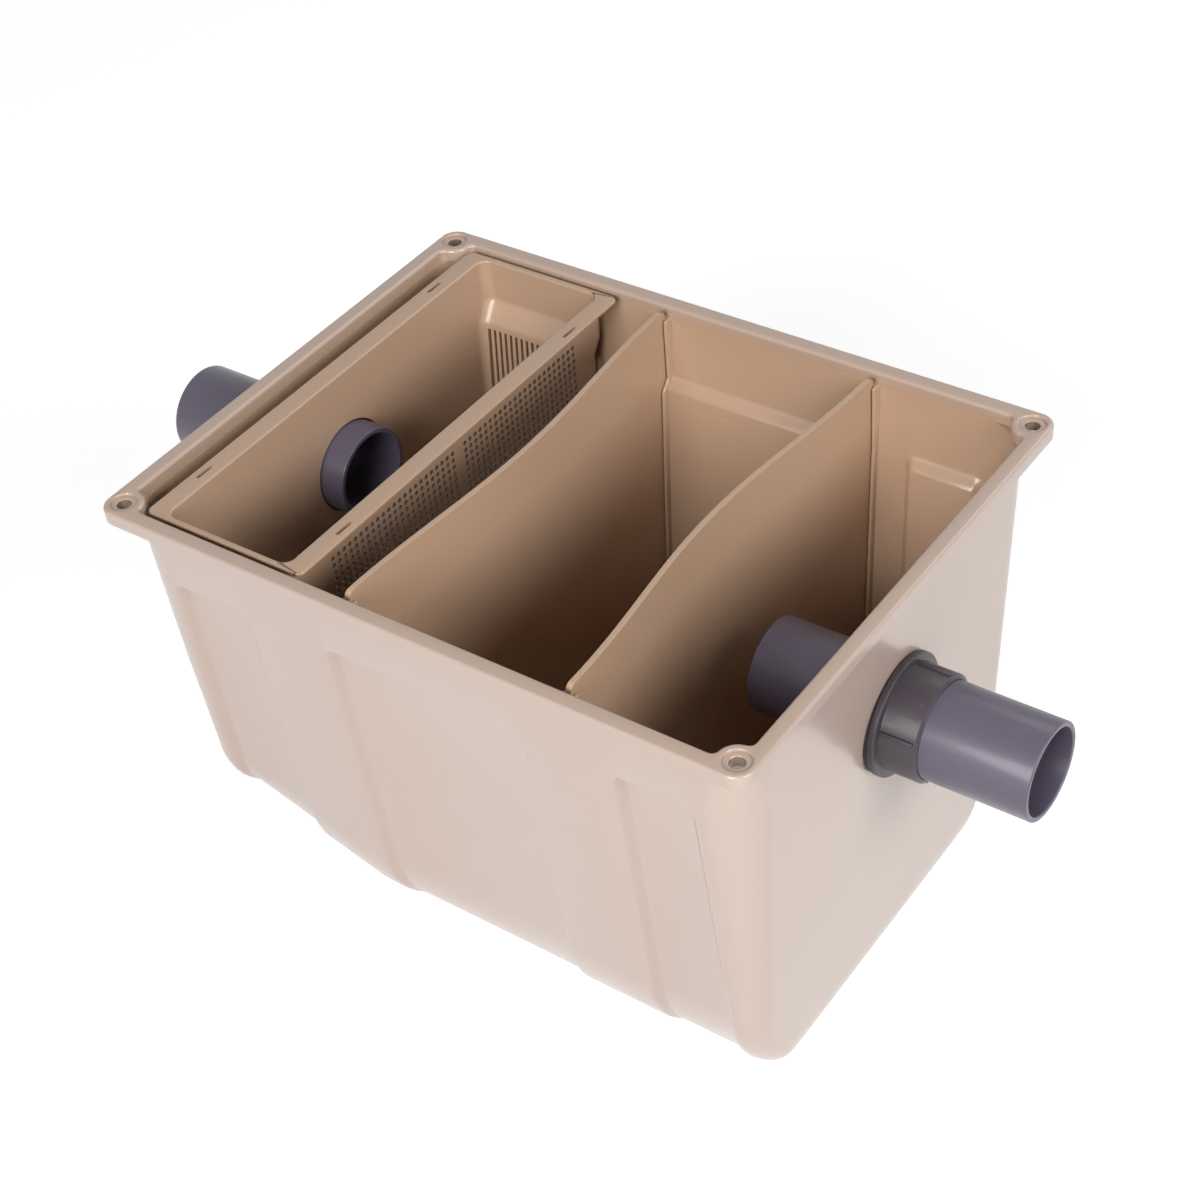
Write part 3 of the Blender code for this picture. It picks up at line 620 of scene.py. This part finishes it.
def roundedRectangle(x0, x1, half, corner, depth):
    places = ((x0 + corner, -half + corner, 2), (x1 - corner, -half + corner, 3),
              (x1 - corner, half - corner, 4), (x0 + corner, half - corner, 5))
    ring = []
    for x, y, turn in places:
        start = turn * quarter
        ring += arc(x, y, corner, start, start + quarter, basket["cornerSteps"])
    return [(x, y, tubTop - depth) for x, y in ring]


def lowerEnd(depth):
    return innerTopY - panel["depth"] - tub["leanSide"] * depth - basket["lowerGap"]


def basketRing(depth, half, inset, pull=0.0):
    lean = basket["lean"] * depth
    return roundedRectangle(basketIn + lean + inset + pull, basketOut - lean - inset - pull,
                            half - inset - pull, basket["corner"] - inset, depth)


def basketRings():
    shoulderEnd = basket["shoulderTop"] + basket["shoulder"]
    filletTop = basket["depth"] - basket["fillet"]
    foot = lowerEnd(filletTop)
    drop = lowerEnd(shoulderEnd)
    turns = [(sin(quarter * t), 1 - cos(quarter * t)) for t in steps(8)[1:]]
    radius, wall = basket["fillet"], basket["wall"]
    under = basket["top"] + wall
    side = eased([(under, basketEnd), (basket["shoulderTop"], basketEnd), (shoulderEnd, drop),
                  (filletTop, foot)], basket["shoulderEase"], 5)[1:-1]
    rings = [basketRing(filletTop + radius * a, foot, 0.0, radius * b) for a, b in reversed(turns)]
    rings.append(basketRing(filletTop, foot, 0.0))
    rings += [basketRing(depth, half, 0.0) for depth, half in reversed(side)]
    rings.append(basketRing(under, basketEnd, 0.0))
    top, edge, inner = basket["top"], basket["edge"], basket["innerEdge"]
    rings += [flangeRing(edge * a, under - edge * b) for a, b in rounding(3)]
    rings += [flangeRing(edge * b, top + edge * a) for a, b in rounding(3)]
    rings += [basketRing(top + inner * b, basketEnd, wall - inner * a) for a, b in rounding(4)]
    rings += [basketRing(depth - fit, half, wall) for depth, half in side]
    rings.append(basketRing(filletTop, foot, wall))
    radius -= wall
    return rings + [basketRing(filletTop + radius * a, foot, wall, radius * b) for a, b in turns]


def flangeRing(inset, depth):
    return roundedRectangle(basketX0 + inset, basketX1 - inset, sheetEnd - inset,
                            basket["flangeCorner"] - inset, depth)


# Geometry Nodes: a plate pierced by rows of holes with rounded corners, centred on the origin.
# The columns part in the middle by Middle Gap.
def piercedPlateTree():
    tree, given, result = newGroup("piercedPlate", "GeometryNodeTree", {
        "Geometry": "Geometry", "Width": 0.1, "Height": 0.1, "Thickness": 0.002,
        "Column Pitch": 0.004, "Row Pitch": 0.004, "Middle Gap": 0.0, "Hole Width": 0.002,
        "Hole Height": 0.002, "Hole Rounding": 0.001, "Columns": 10, "Rows": 10,
        "Rounding Steps": 3, "Material": "Material",
    }, {"Geometry": "Geometry"})

    def add(kind, **inputs):
        return addNode(tree, "GeometryNode" + kind, **inputs)

    def span(count, pitch):
        return times(minus(given[count], 1), given[pitch])

    grid = add("MeshGrid", Size_X=span("Columns", "Column Pitch"), Size_Y=span("Rows", "Row Pitch"),
               Vertices_X=given["Columns"], Vertices_Y=given["Rows"])
    place = addNode(tree, "ShaderNodeSeparateXYZ", Vector=add("InputPosition").outputs[0])
    halfGap = times(given["Middle Gap"], 0.5)
    shift = times(sums("SIGN", place.outputs["X"], 0), halfGap)
    offset = addNode(tree, "ShaderNodeCombineXYZ", X=shift)
    move = add("SetPosition", Geometry=grid.outputs["Mesh"], Offset=offset.outputs[0])
    hole = add("CurvePrimitiveQuadrilateral", Width=given["Hole Width"],
               Height=given["Hole Height"])
    fillet = tree.nodes.new("GeometryNodeFilletCurve")
    fillet.mode = "POLY"
    feed(fillet, Curve=hole.outputs["Curve"], Radius=given["Hole Rounding"],
         Count=given["Rounding Steps"])
    spread = add("InstanceOnPoints", Points=move.outputs["Geometry"],
                 Instance=fillet.outputs["Curve"])
    holes = add("RealizeInstances", Geometry=spread.outputs["Instances"])
    outline = add("CurvePrimitiveQuadrilateral", Width=given["Width"], Height=given["Height"])
    join = add("JoinGeometry", Geometry=outline.outputs["Curve"])
    feed(join, Geometry=holes.outputs["Geometry"])
    fill = add("FillCurve", Curve=join.outputs["Geometry"])
    lift = add("ExtrudeMesh", Individual=False, Mesh=fill.outputs["Mesh"],
               Offset_Scale=given["Thickness"])
    back = add("FlipFaces", Mesh=fill.outputs["Mesh"])
    both = add("JoinGeometry", Geometry=lift.outputs["Mesh"])
    feed(both, Geometry=back.outputs["Mesh"])
    weld = add("MergeByDistance", Distance=0.00002, Geometry=both.outputs["Geometry"])
    return closeTree(tree, weld.outputs["Geometry"], given["Material"], result)


# runs a node tree on an empty mesh and returns the plain mesh it makes
def fromTree(tree, name, **values):
    holder = addObject(name, bpy.data.meshes.new(name))
    run = holder.modifiers.new("nodes", "NODES")
    run.node_group = tree
    for item in tree.interface.items_tree:
        if item.item_type == "SOCKET" and item.in_out == "INPUT" and item.name in values:
            run[item.identifier] = values[item.name]
    bpy.context.view_layer.update()
    held = holder.evaluated_get(bpy.context.evaluated_depsgraph_get())
    mesh = bpy.data.meshes.new_from_object(held)
    bpy.data.objects.remove(holder)
    return mesh


# outline of a long hole with round ends
def longHole(across, low, high, width):
    half = width / 2
    row = arc(across, high - half, half, 0.0, pi, 6)
    return row + arc(across, low + half, half, pi, 2 * pi, 6)


# upright slots of both end walls and the four grip slots of the flange
def basketSlots():
    inset = basket["wall"] + basket["slotMargin"]
    room = basketOut - basketIn - 2 * inset
    low, high = tubTop - basket["depth"] + 2 * basket["fillet"], tubTop - basket["slotTop"]
    made = []
    for k in range(int(room / basket["slotPitch"]) + 1):
        x = basketIn + inset + basket["slotPitch"] * k
        row = longHole(x, low, high, basket["slotWidth"])
        rings = [[(px, y, pz) for px, pz in row] for y in (-sheetEnd, sheetEnd)]
        made.append(loft("endSlot", rings))
    reach = basket["gripLength"] / 2
    ends = (tubTop - basket["top"] + beyond, tubTop - basket["top"] - 2 * basket["wall"])
    middle, aside = (basketX0 + basketX1) / 2, (basket["length"] - basket["flange"]) / 2
    for signX, signY in corners:
        y = signY * basket["gripY"]
        row = longHole(middle + signX * aside, y - reach, y + reach, basket["gripWidth"])
        made.append(loft("gripSlot", [[(px, py, z) for px, py in row] for z in ends]))
    return addObject("basketSlots", gather("basketSlots", made))


# ribs under the basket's shoulders that stand on the inner ledge of the tub's panels
def seatRibs():
    middle = (-tangentTop + panel["inletEnd"]) / 2
    ledgeTop = innerHalfWidth(middle, panel["top"])
    ledgeFoot = innerHalfWidth(middle, panel["top"] + panel["ledge"])
    slope = panel["ledge"] / (ledgeTop - ledgeFoot)
    lift = 2 * fit * hypot(1.0, slope)
    near, far = lowerEnd(panel["top"]) - sunk, basketEnd - sunk
    stepIn = basketEnd - lowerEnd(basket["shoulderTop"] + basket["shoulder"])
    top = [tubTop - basket["shoulderTop"] - basket["shoulder"] * (basketEnd - y) / stepIn
           + basket["ribSink"] for y in (near, far)]
    first = basketIn + basket["wall"] + basket["slotMargin"]
    foot = [tubTop - panel["top"] - (ledgeTop - y) * slope + lift for y in (near, far)]
    outline = ((near, top[0]), (far, top[1]), (far, foot[1]), (near, foot[0]))
    made = []
    for land in basket["ribLands"]:
        x = first + basket["slotPitch"] * (land - 0.5)
        for side in (-1, 1):
            rings = [[(edge, side * y, z) for y, z in outline]
                     for edge in (x - basket["ribWidth"] / 2, x + basket["ribWidth"] / 2)]
            made.append(loft("seatRib", rings))
    return made


# marks the narrow faces round the inside of the sieve's holes, which get painted shade
def markSieveHoleShade(mesh):
    outer = basketOut - basket["lean"] * basket["depth"] - basket["wall"] - sieve["behind"]
    across = sieve["hole"] * basket["wall"]
    marks = [float(face.area < across and face.center.x > outer
                   and abs(face.normal.x) < sieve["facing"]) for face in mesh.polygons]
    mesh.attributes.new("sieveHoleShade", "FLOAT", "FACE").data.foreach_set("value", marks)


def makeBasket(material):
    tree = piercedPlateTree()
    shell = addObject("basketShell", loft("basketShell", basketRings()))
    width = ((sieve["columns"] - 1) * sieve["pitch"] + sieve["middle"] + sieve["hole"]
             + 2 * sieve["margin"])
    height = (sieve["rows"] - 1) * sieve["pitch"] + sieve["hole"] + 2 * sieve["margin"]
    middleDepth = sieve["top"] - sieve["margin"] + height / 2
    inner = basketOut - basket["wall"] - basket["lean"] * middleDepth
    # local width runs along Y, height up the leaning wall, thickness outwards along X
    onWall = Matrix(((0.0, basket["lean"], 1.0, inner), (1.0, 0.0, 0.0, 0.0),
                     (0.0, 1.0, 0.0, tubTop - middleDepth), (0.0, 0.0, 0.0, 1.0)))
    frameLine = ((-width, -height), (width, -height), (width, height), (-width, height))
    window = loft("window", [[(x / 2, y / 2, z) for x, y in frameLine]
                             for z in (-beyond, basket["wall"] + beyond)])
    window.transform(onWall)
    cutters = [addObject("sieveWindow", window), basketSlots()]
    cutters.append(pipeCutter(basketIn, pipes["inletDepth"],
                              pipes["radius"] + pipes["basketGap"], basket["pipeHole"]))
    for cutter in cutters:
        combine(shell, cutter)
    freeze(shell, cutters)
    plate = fromTree(tree, "sieve", **{
        "Width": width, "Height": height, "Thickness": basket["wall"],
        "Columns": sieve["columns"], "Rows": sieve["rows"],
        "Column Pitch": sieve["pitch"], "Row Pitch": sieve["pitch"],
        "Middle Gap": sieve["middle"] - sieve["pitch"],
        "Hole Width": sieve["hole"], "Hole Height": sieve["hole"],
        "Hole Rounding": sieve["rounding"] * sieve["hole"], "Rounding Steps": 3,
        "Material": material,
    })
    plate.transform(onWall)
    shell.data = gather("basketShell", [shell.data, plate] + seatRibs())
    markSieveHoleShade(shell.data)
    settle(shell, material, "basket_plastic", "strainer_basket")


# pipes, sockets and gaskets; profiles are (radius, place along the axis)

def along(facing, x, depth):
    place = Matrix.Translation((x, 0.0, tubTop - depth))
    return place @ Matrix.Rotation(facing * quarter, 4, "Y")


def roundTo(radius, start, turn, size, count=4):
    return arc(radius, start, size, turn, turn + quarter, count)


def makePipe(kind, facing, innerEnd, depth, material):
    length = pipes["reach"] - facing * innerEnd
    outer, bore, lip = pipes["radius"], pipes["radius"] - pipes["wall"], pipes["lip"]
    profile = roundTo(outer - lip, lip, -quarter, lip)
    profile += roundTo(outer - lip, length - lip, 0.0, lip)
    profile += roundTo(bore + lip, length - lip, quarter, lip)
    profile += roundTo(bore + lip, lip, 2 * quarter, lip)
    name = kind + "Pipe"
    mesh = turned(name, profile, pipes["sides"], along(facing, innerEnd, depth))
    settle(addObject(name, mesh), material, "pipe_plastic", kind + "_pipe")


# Geometry Nodes: bars standing round a collar, along its axis
def collarRibsTree():
    tree, given, result = newGroup("collarRibs", "GeometryNodeTree", {
        "Geometry": "Geometry", "Radius": 0.0275, "First Turn": 0.0, "Rib Width": 0.0016,
        "Rib Height": 0.0024, "Rib Length": 0.016, "Ribs": 4, "Material": "Material",
    }, {"Geometry": "Geometry"})
    circle = addNode(tree, "GeometryNodeMeshCircle", Vertices=given["Ribs"],
                     Radius=given["Radius"])
    turnBy = addNode(tree, "ShaderNodeCombineXYZ", Z=given["First Turn"])
    swing = addNode(tree, "GeometryNodeTransform", Geometry=circle.outputs["Mesh"],
                    Rotation=turnBy.outputs[0])
    size = addNode(tree, "ShaderNodeCombineXYZ", X=given["Rib Height"], Y=given["Rib Width"],
                   Z=given["Rib Length"])
    bar = addNode(tree, "GeometryNodeMeshCube", Size=size.outputs[0])
    place = tree.nodes.new("GeometryNodeInputPosition")
    face = tree.nodes.new("FunctionNodeAlignRotationToVector")
    face.axis = "X"
    face.pivot_axis = "Z"
    feed(face, Vector=place.outputs[0])
    spread = addNode(tree, "GeometryNodeInstanceOnPoints", Points=swing.outputs["Geometry"],
                     Instance=bar.outputs["Mesh"], Rotation=face.outputs["Rotation"])
    return closeTree(tree, spread.outputs["Instances"], given["Material"], result)


def makeSocket(kind, facing, start, depth, tree, material):
    bore = pipes["radius"] + fit
    face, end = pipes["flange"], pipes["flange"] + pipes["collar"]
    rim, collar, edge, cut, throat, bend, crest, mouth = (pipes[key] for key in (
        "flangeRadius", "collarRadius", "bevel", "chamfer", "throat", "throatBend", "crest",
        "mouth"))
    profile = [(bore, 0.0)]
    profile += roundTo(rim - edge / 2, edge / 2, -quarter, edge / 2, 3)
    profile += roundTo(rim - edge, face - edge, 0.0, edge, 4)
    profile += [(collar + throat, face), (collar + bend, face + bend), (collar, face + throat)]
    profile += roundTo(collar - crest, end - cut, 0.0, crest, 2)[:-1]
    profile += [(collar - cut, end - mouth), (collar - cut - mouth, end), (bore, end)]
    name = kind + "Socket"
    body = turned(name, profile, pipes["sides"], along(facing, start, depth))
    length = end - cut - face - pipes["ribEdge"]
    ribs = fromTree(tree, name + "Ribs", **{
        "Radius": collar, "First Turn": pipes["ribTurn"], "Rib Width": pipes["ribWidth"],
        "Rib Height": 2 * pipes["ribHeight"], "Rib Length": length, "Ribs": pipes["ribs"],
        "Material": material,
    })
    ribs.transform(along(facing, start, depth) @ Matrix.Translation((0, 0, face + length / 2)))
    soft = addObject(name + "Soft", ribs)
    edge = soft.modifiers.new("edge", "BEVEL")
    edge.width = pipes["ribEdge"]
    edge.segments = 3
    freeze(soft)
    mesh = gather(name, [body, soft.data])
    bpy.data.objects.remove(soft)
    settle(addObject(name, mesh), material, "socket_plastic", kind + "_flange")


def makeGasket(kind, wallX, front, lean, depth, material):
    bore, outer, edge = pipes["radius"] + fit, pipes["gasketRadius"], pipes["gasketEdge"]
    rings = []
    for radius, share in ((bore, 0.0), (outer - edge, 0.0), (outer, 0.2), (outer, 0.8),
                          (outer - edge, 1.0), (bore, 1.0)):
        ring = []
        for y, z in arc(0.0, 0.0, radius, 0.0, 2 * pi, pipes["sides"])[:-1]:
            back = wallX + lean * z
            ring.append((front + (back - front) * share, y, tubTop - depth + z))
        rings.append(ring)
    name = kind + "Gasket"
    settle(addObject(name, loft(name, rings, "none")), material, "gasket_rubber", kind + "_gasket")


def makeConnection(kind, facing, lean, innerEnd, depth, tree, finishes):
    wallX = endWalls(depth, 0.0)[0 if facing < 0 else 1] + facing * fit
    front = wallX + facing * pipes["gasket"]
    makeGasket(kind, wallX, front, facing * lean, depth, finishes["gasket"])
    makeSocket(kind, facing, front + facing * fit, depth, tree, finishes["socket"])
    makePipe(kind, facing, innerEnd, depth, finishes["pipe"])


# materials

# Shader group: soft tone changes, drawn streaks and a fine skin for moulded or drawn plastic.
# Mask brings in painted light: 1 for a paler painted sheen on the outer face or painted shade
# in the sieve's holes, below 0 for painted shade in the screw holes.
def plasticSkin():
    plain = (0.5, 0.5, 0.5, 1.0)
    tree, given, result = newGroup("plasticSkin", "ShaderNodeTree", {
        "Place": "Vector", "Colour": plain, "Shade": plain, "Tone Scale": 9.0,
        "Tone Share": 0.35, "Speck Scale": 900.0, "Speck Share": 0.1, "Rough Low": 0.3,
        "Rough High": 0.42, "Rough Scale": 40.0, "Skin Scale": 1400.0, "Mask": 0.0,
        "Coat": 0.3, "Mask Coat": 0.3, "Mask Colour": plain, "Mask Least": 0.8,
        "Mask Cloud": 0.3, "Painted Hole Shade": (0.10, 0.06, 0.04, 1.0), "Painted Hole Share": 0.8,
        "Stretch": (1.0, 1.0, 1.0),
    }, {"Colour": plain, "Roughness": 0.3, "Height": 0.0, "Coat": 0.3})
    place = times(given["Place"], given["Stretch"], kind="ShaderNodeVectorMath")

    def noise(scale, detail, roughness=0.5):
        return addNode(tree, "ShaderNodeTexNoise", Vector=place, Scale=given[scale],
                       Detail=detail, Roughness=roughness).outputs["Fac"]

    tone = times(noise("Tone Scale", 3.0), given["Tone Share"])
    speck = times(noise("Speck Scale", 1.0), given["Speck Share"])
    share = plus(tone, speck, clamp=True)
    colour = mixColour(share, given["Colour"], given["Shade"])
    cloud = times(noise("Tone Scale", 2.0), given["Mask Cloud"])
    cloud = plus(cloud, given["Mask Least"], clamp=True)
    # the mask mixes in its colour: a paler painted sheen on the tub's outer face, painted shade in
    # the sieve's holes
    paintedShare = times(given["Mask"], cloud)
    colour = mixColour(paintedShare, colour, given["Mask Colour"])
    # painted shade: below 0 the screw holes are darkened towards a dark colour
    hole = times(given["Mask"], -1.0, clamp=True)
    hole = times(hole, given["Painted Hole Share"])
    wire(mixColour(hole, colour, given["Painted Hole Shade"]), result["Colour"])
    more = minus(given["Mask Coat"], given["Coat"])
    more = times(paintedShare, more)
    wire(plus(given["Coat"], more), result["Coat"])
    span = minus(given["Rough High"], given["Rough Low"])
    span = times(noise("Rough Scale", 4.0, 0.6), span)
    wire(plus(given["Rough Low"], span), result["Roughness"])
    wire(noise("Skin Scale", 2.0), result["Height"])
    return tree


# Shader group: short pale scuffs where the piece is handled, inside wide patches
def scuffs():
    tree, given, result = newGroup("scuffs", "ShaderNodeTree", {
        "Place": "Vector", "Colour": (0.5, 0.5, 0.5, 1.0), "Scuff Colour": (0.7, 0.7, 0.7, 1.0),
        "Roughness": 0.3, "Scuff Roughness": 0.35, "Scale": 60.0, "Amount": 0.3,
        "Cover": 0.62, "Edge": 9.0, "Patch Scale": 14.0, "Patch Cover": 0.45, "Patch Edge": 6.0,
        "Stretch": (1.0, 1.0, 6.0),
    }, {"Colour": (0.5, 0.5, 0.5, 1.0), "Roughness": 0.3})
    place = times(given["Place"], given["Stretch"], kind="ShaderNodeVectorMath")
    fine = addNode(tree, "ShaderNodeTexNoise", Vector=place, Scale=given["Scale"], Detail=6.0,
                   Roughness=0.7)
    wide = addNode(tree, "ShaderNodeTexNoise", Vector=given["Place"],
                   Scale=given["Patch Scale"], Detail=1.0)
    mark = minus(fine.outputs["Fac"], given["Cover"])
    mark = times(mark, given["Edge"], clamp=True)
    patch = minus(wide.outputs["Fac"], given["Patch Cover"])
    patch = times(patch, given["Patch Edge"], clamp=True)
    mask = times(times(mark, patch), given["Amount"])
    wire(mixColour(mask, given["Colour"], given["Scuff Colour"]), result["Colour"])
    more = times(mask, given["Scuff Roughness"])
    wire(plus(given["Roughness"], more), result["Roughness"])
    return tree


def newMaterial(name, **inputs):
    made = bpy.data.materials.new(name)
    made.use_nodes = True
    tree = made.node_tree
    return made, tree, feed(tree.nodes["Principled BSDF"], **inputs)


def makeFinish(name, groups, sizes):
    made, tree, shader = newMaterial(name, **sizes["shader"])
    place = tree.nodes.new("ShaderNodeTexCoord").outputs["Object"]

    def addGroup(kind, **inputs):
        node = tree.nodes.new("ShaderNodeGroup")
        node.node_tree = groups[kind]
        return feed(node, Place=place, **sizes[kind], **inputs).outputs

    mask = {}
    if "mask" in sizes:
        source = tree.nodes.new("ShaderNodeAttribute")
        source.attribute_name = sizes["mask"]
        mask["Mask"] = source.outputs["Fac"]
    skin = addGroup("skin", **mask)
    worn = addGroup("scuffs", Colour=skin["Colour"], Roughness=skin["Roughness"])
    bump = addNode(tree, "ShaderNodeBump", Height=skin["Height"], Strength=sizes["bump"],
                   Distance=0.0001)
    feed(shader, Base_Color=worn["Colour"], Roughness=worn["Roughness"],
         Normal=bump.outputs["Normal"])
    if mask:
        feed(shader, Coat_Weight=skin["Coat"])
    return made


def makeFinishes():
    groups = dict(skin=plasticSkin(), scuffs=scuffs())
    tan = dict(
        shader={"IOR": 1.49, "Specular IOR Level": 0.55, "Coat Weight": 0.25,
                "Coat Roughness": 0.15, "Coat IOR": 1.6},
        bump=0.12,
        skin={"Colour": (0.470, 0.315, 0.212, 1), "Shade": (0.410, 0.270, 0.178, 1),
              "Tone Scale": 7.0, "Tone Share": 0.40, "Speck Share": 0.12,
              "Rough Low": 0.26, "Rough High": 0.36, "Rough Scale": 30.0,
              "Skin Scale": 1100.0},
        scuffs={"Scuff Colour": (0.66, 0.56, 0.46, 1), "Amount": 0.22, "Scale": 45.0,
                "Stretch": (1.0, 1.0, 5.0)},
    )
    # the paler outer colour is painted sheen standing in for reflected light; the screw holes get
    # painted shade
    tubTan = dict(tan, mask="paintedSheenAndShade", skin=dict(tan["skin"], **{
        "Mask Colour": (0.440, 0.345, 0.300, 1), "Coat": 0.2, "Mask Coat": 0.35}))
    # the dark colour in the sieve's holes is painted shade
    basketTan = dict(tan, mask="sieveHoleShade", skin=dict(tan["skin"], **{
        "Mask Colour": (0.080, 0.047, 0.029, 1), "Coat": 0.25, "Mask Coat": 0.0,
        "Colour": (0.445, 0.298, 0.202, 1), "Shade": (0.385, 0.254, 0.168, 1),
        "Rough Low": 0.34, "Rough High": 0.44}))
    baffleTan = dict(tan, skin=dict(tan["skin"], **{
        "Shade": (0.410, 0.270, 0.176, 1), "Rough Low": 0.32, "Rough High": 0.42,
        "Stretch": (1.0, 1.0, 0.3)}))
    grey = dict(
        shader={"IOR": 1.5, "Specular IOR Level": 0.35, "Coat Weight": 0.15,
                "Coat Roughness": 0.15, "Coat IOR": 1.5},
        bump=0.15,
        skin={"Colour": (0.100, 0.086, 0.124, 1), "Shade": (0.078, 0.067, 0.098, 1),
              "Tone Scale": 18.0, "Tone Share": 0.5, "Speck Share": 0.2,
              "Rough Low": 0.30, "Rough High": 0.44, "Rough Scale": 60.0,
              "Skin Scale": 500.0, "Stretch": (0.06, 1.0, 1.0)},
        scuffs={"Scuff Colour": (0.24, 0.21, 0.23, 1), "Amount": 0.35, "Scale": 80.0,
                "Stretch": (0.5, 2.0, 2.0)},
    )
    socketShader = dict(grey["shader"], **{"Specular IOR Level": 0.3, "Coat Weight": 0.08})
    socketGrey = dict(grey, shader=socketShader, skin=dict(grey["skin"], **{
        "Colour": (0.050, 0.040, 0.049, 1), "Shade": (0.038, 0.030, 0.037, 1),
        "Rough Low": 0.38, "Rough High": 0.50, "Stretch": (1.0, 1.0, 1.0), "Skin Scale": 1200.0}))
    rubber = dict(
        shader={"IOR": 1.5, "Specular IOR Level": 0.3},
        bump=0.3,
        skin={"Colour": (0.022, 0.021, 0.022, 1), "Shade": (0.032, 0.031, 0.032, 1),
              "Rough Low": 0.55, "Rough High": 0.7, "Skin Scale": 900.0},
        scuffs={"Scuff Colour": (0.07, 0.07, 0.07, 1), "Amount": 0.3},
    )
    chosen = dict(tub=tubTan, basket=basketTan, baffle=baffleTan, pipe=grey, socket=socketGrey,
                  gasket=rubber)
    print("materials:", ", ".join(chosen))
    return {kind: makeFinish(kind + "Finish", groups, sizes) for kind, sizes in chosen.items()}


# camera, floor and light

def makeCamera():
    view = dict(place=(0.5768, -0.7026, 0.9580), azimuth=39.1, elevation=40.594, roll=0.110,
                lens=70.25, sensor=36.0)
    a, e = radians(view["azimuth"]), radians(view["elevation"])
    right = Vector((cos(a), sin(a), 0.0))
    back = Vector((sin(a) * cos(e), -cos(a) * cos(e), sin(e)))
    up = back.cross(right)
    c, s = cos(view["roll"]), sin(view["roll"])
    axes = Matrix((c * right - s * up, s * right + c * up, back)).transposed()
    data = bpy.data.cameras.new("camera")
    data.lens = view["lens"]
    data.sensor_width = view["sensor"]
    data.clip_start = 0.05
    camera = addObject("camera", data)
    camera.matrix_world = Matrix.Translation(view["place"]) @ axes.to_4x4()
    bpy.context.scene.camera = camera


# 1 for what the camera sees, directly, in a reflection or through glass
def seenByCamera(tree):
    path = tree.nodes.new("ShaderNodeLightPath").outputs
    seen = plus(path["Is Camera Ray"], path["Is Glossy Ray"])
    return plus(seen, path["Is Transmission Ray"], clamp=True)


def makeFloor():
    floor = dict(
        size=30.0, height=-0.0004, glow=0.62, farGlow=0.36, fadeStart=0.9, fadeRate=0.3,
        shader={"Base Color": (0.70, 0.70, 0.70, 1), "Roughness": 0.9,
                "Specular IOR Level": 0.1, "Emission Color": (1, 1, 1, 1)},
    )
    bm = bmesh.new()
    bmesh.ops.create_grid(bm, x_segments=1, y_segments=1, size=floor["size"] / 2,
                          matrix=Matrix.Translation((0, 0, floor["height"])))
    plane = addObject("floor", meshFrom(bm, "floor", turnOut=False))
    made, tree, shader = newMaterial("floorFinish", **floor["shader"])
    # the camera sees the floor lifted to white, and far from the lamps it is lifted more;
    # the object's shadow stays on it
    place = tree.nodes.new("ShaderNodeTexCoord").outputs["Object"]
    distance = addNode(tree, "ShaderNodeVectorMath", Vector=place)
    distance.operation = "LENGTH"
    far = minus(distance.outputs["Value"], floor["fadeStart"])
    far = times(far, floor["fadeRate"], clamp=True)
    glow = plus(times(far, floor["farGlow"]), floor["glow"])
    feed(shader, Emission_Strength=times(seenByCamera(tree), glow))
    plane.data.materials.append(made)


def makeLight():
    light = dict(
        world=0.06, target=(0.0, 0.0, 0.15),
        front=dict(place=(0.3, -2.1, 1.25), size=1.3, power=53.0),
        right=dict(place=(2.08, -0.3, 1.38), size=1.2, power=39.0),
        back=dict(place=(0.3, 1.9, 1.9), size=1.4, power=13.0),
    )
    scene = bpy.context.scene
    scene.view_settings.view_transform = "Standard"
    world = bpy.data.worlds.new("studio")
    world.use_nodes = True
    scene.world = world
    tree = world.node_tree
    lift = times(seenByCamera(tree), 1.0 - light["world"])
    feed(tree.nodes["Background"], Color=(1, 1, 1, 1),
         Strength=plus(lift, light["world"]))
    for name in ("front", "right", "back"):
        sizes = light[name]
        data = bpy.data.lights.new(name, "AREA")
        data.shape = "DISK"
        data.size = sizes["size"]
        data.energy = sizes["power"]
        lamp = addObject(name, data)
        lamp.location = sizes["place"]
        aim = Vector(light["target"]) - lamp.location
        lamp.rotation_euler = aim.to_track_quat("-Z", "Y").to_euler()


finishes = makeFinishes()
makeTub(finishes["tub"])
makeBasket(finishes["basket"])
makeBaffle("inlet", finishes["baffle"])
makeBaffle("outlet", finishes["baffle"])
ribTree = collarRibsTree()
inletEnd = basketIn + basket["wall"] + pipes["inletProud"]
outletEnd = endWalls(pipes["outletDepth"], tub["wall"])[1] - pipes["outletInside"]
makeConnection("inlet", -1, tub["leanInlet"], inletEnd, pipes["inletDepth"], ribTree, finishes)
makeConnection("outlet", 1, tub["leanOutlet"], outletEnd, pipes["outletDepth"], ribTree, finishes)
makeFloor()
makeLight()
makeCamera()
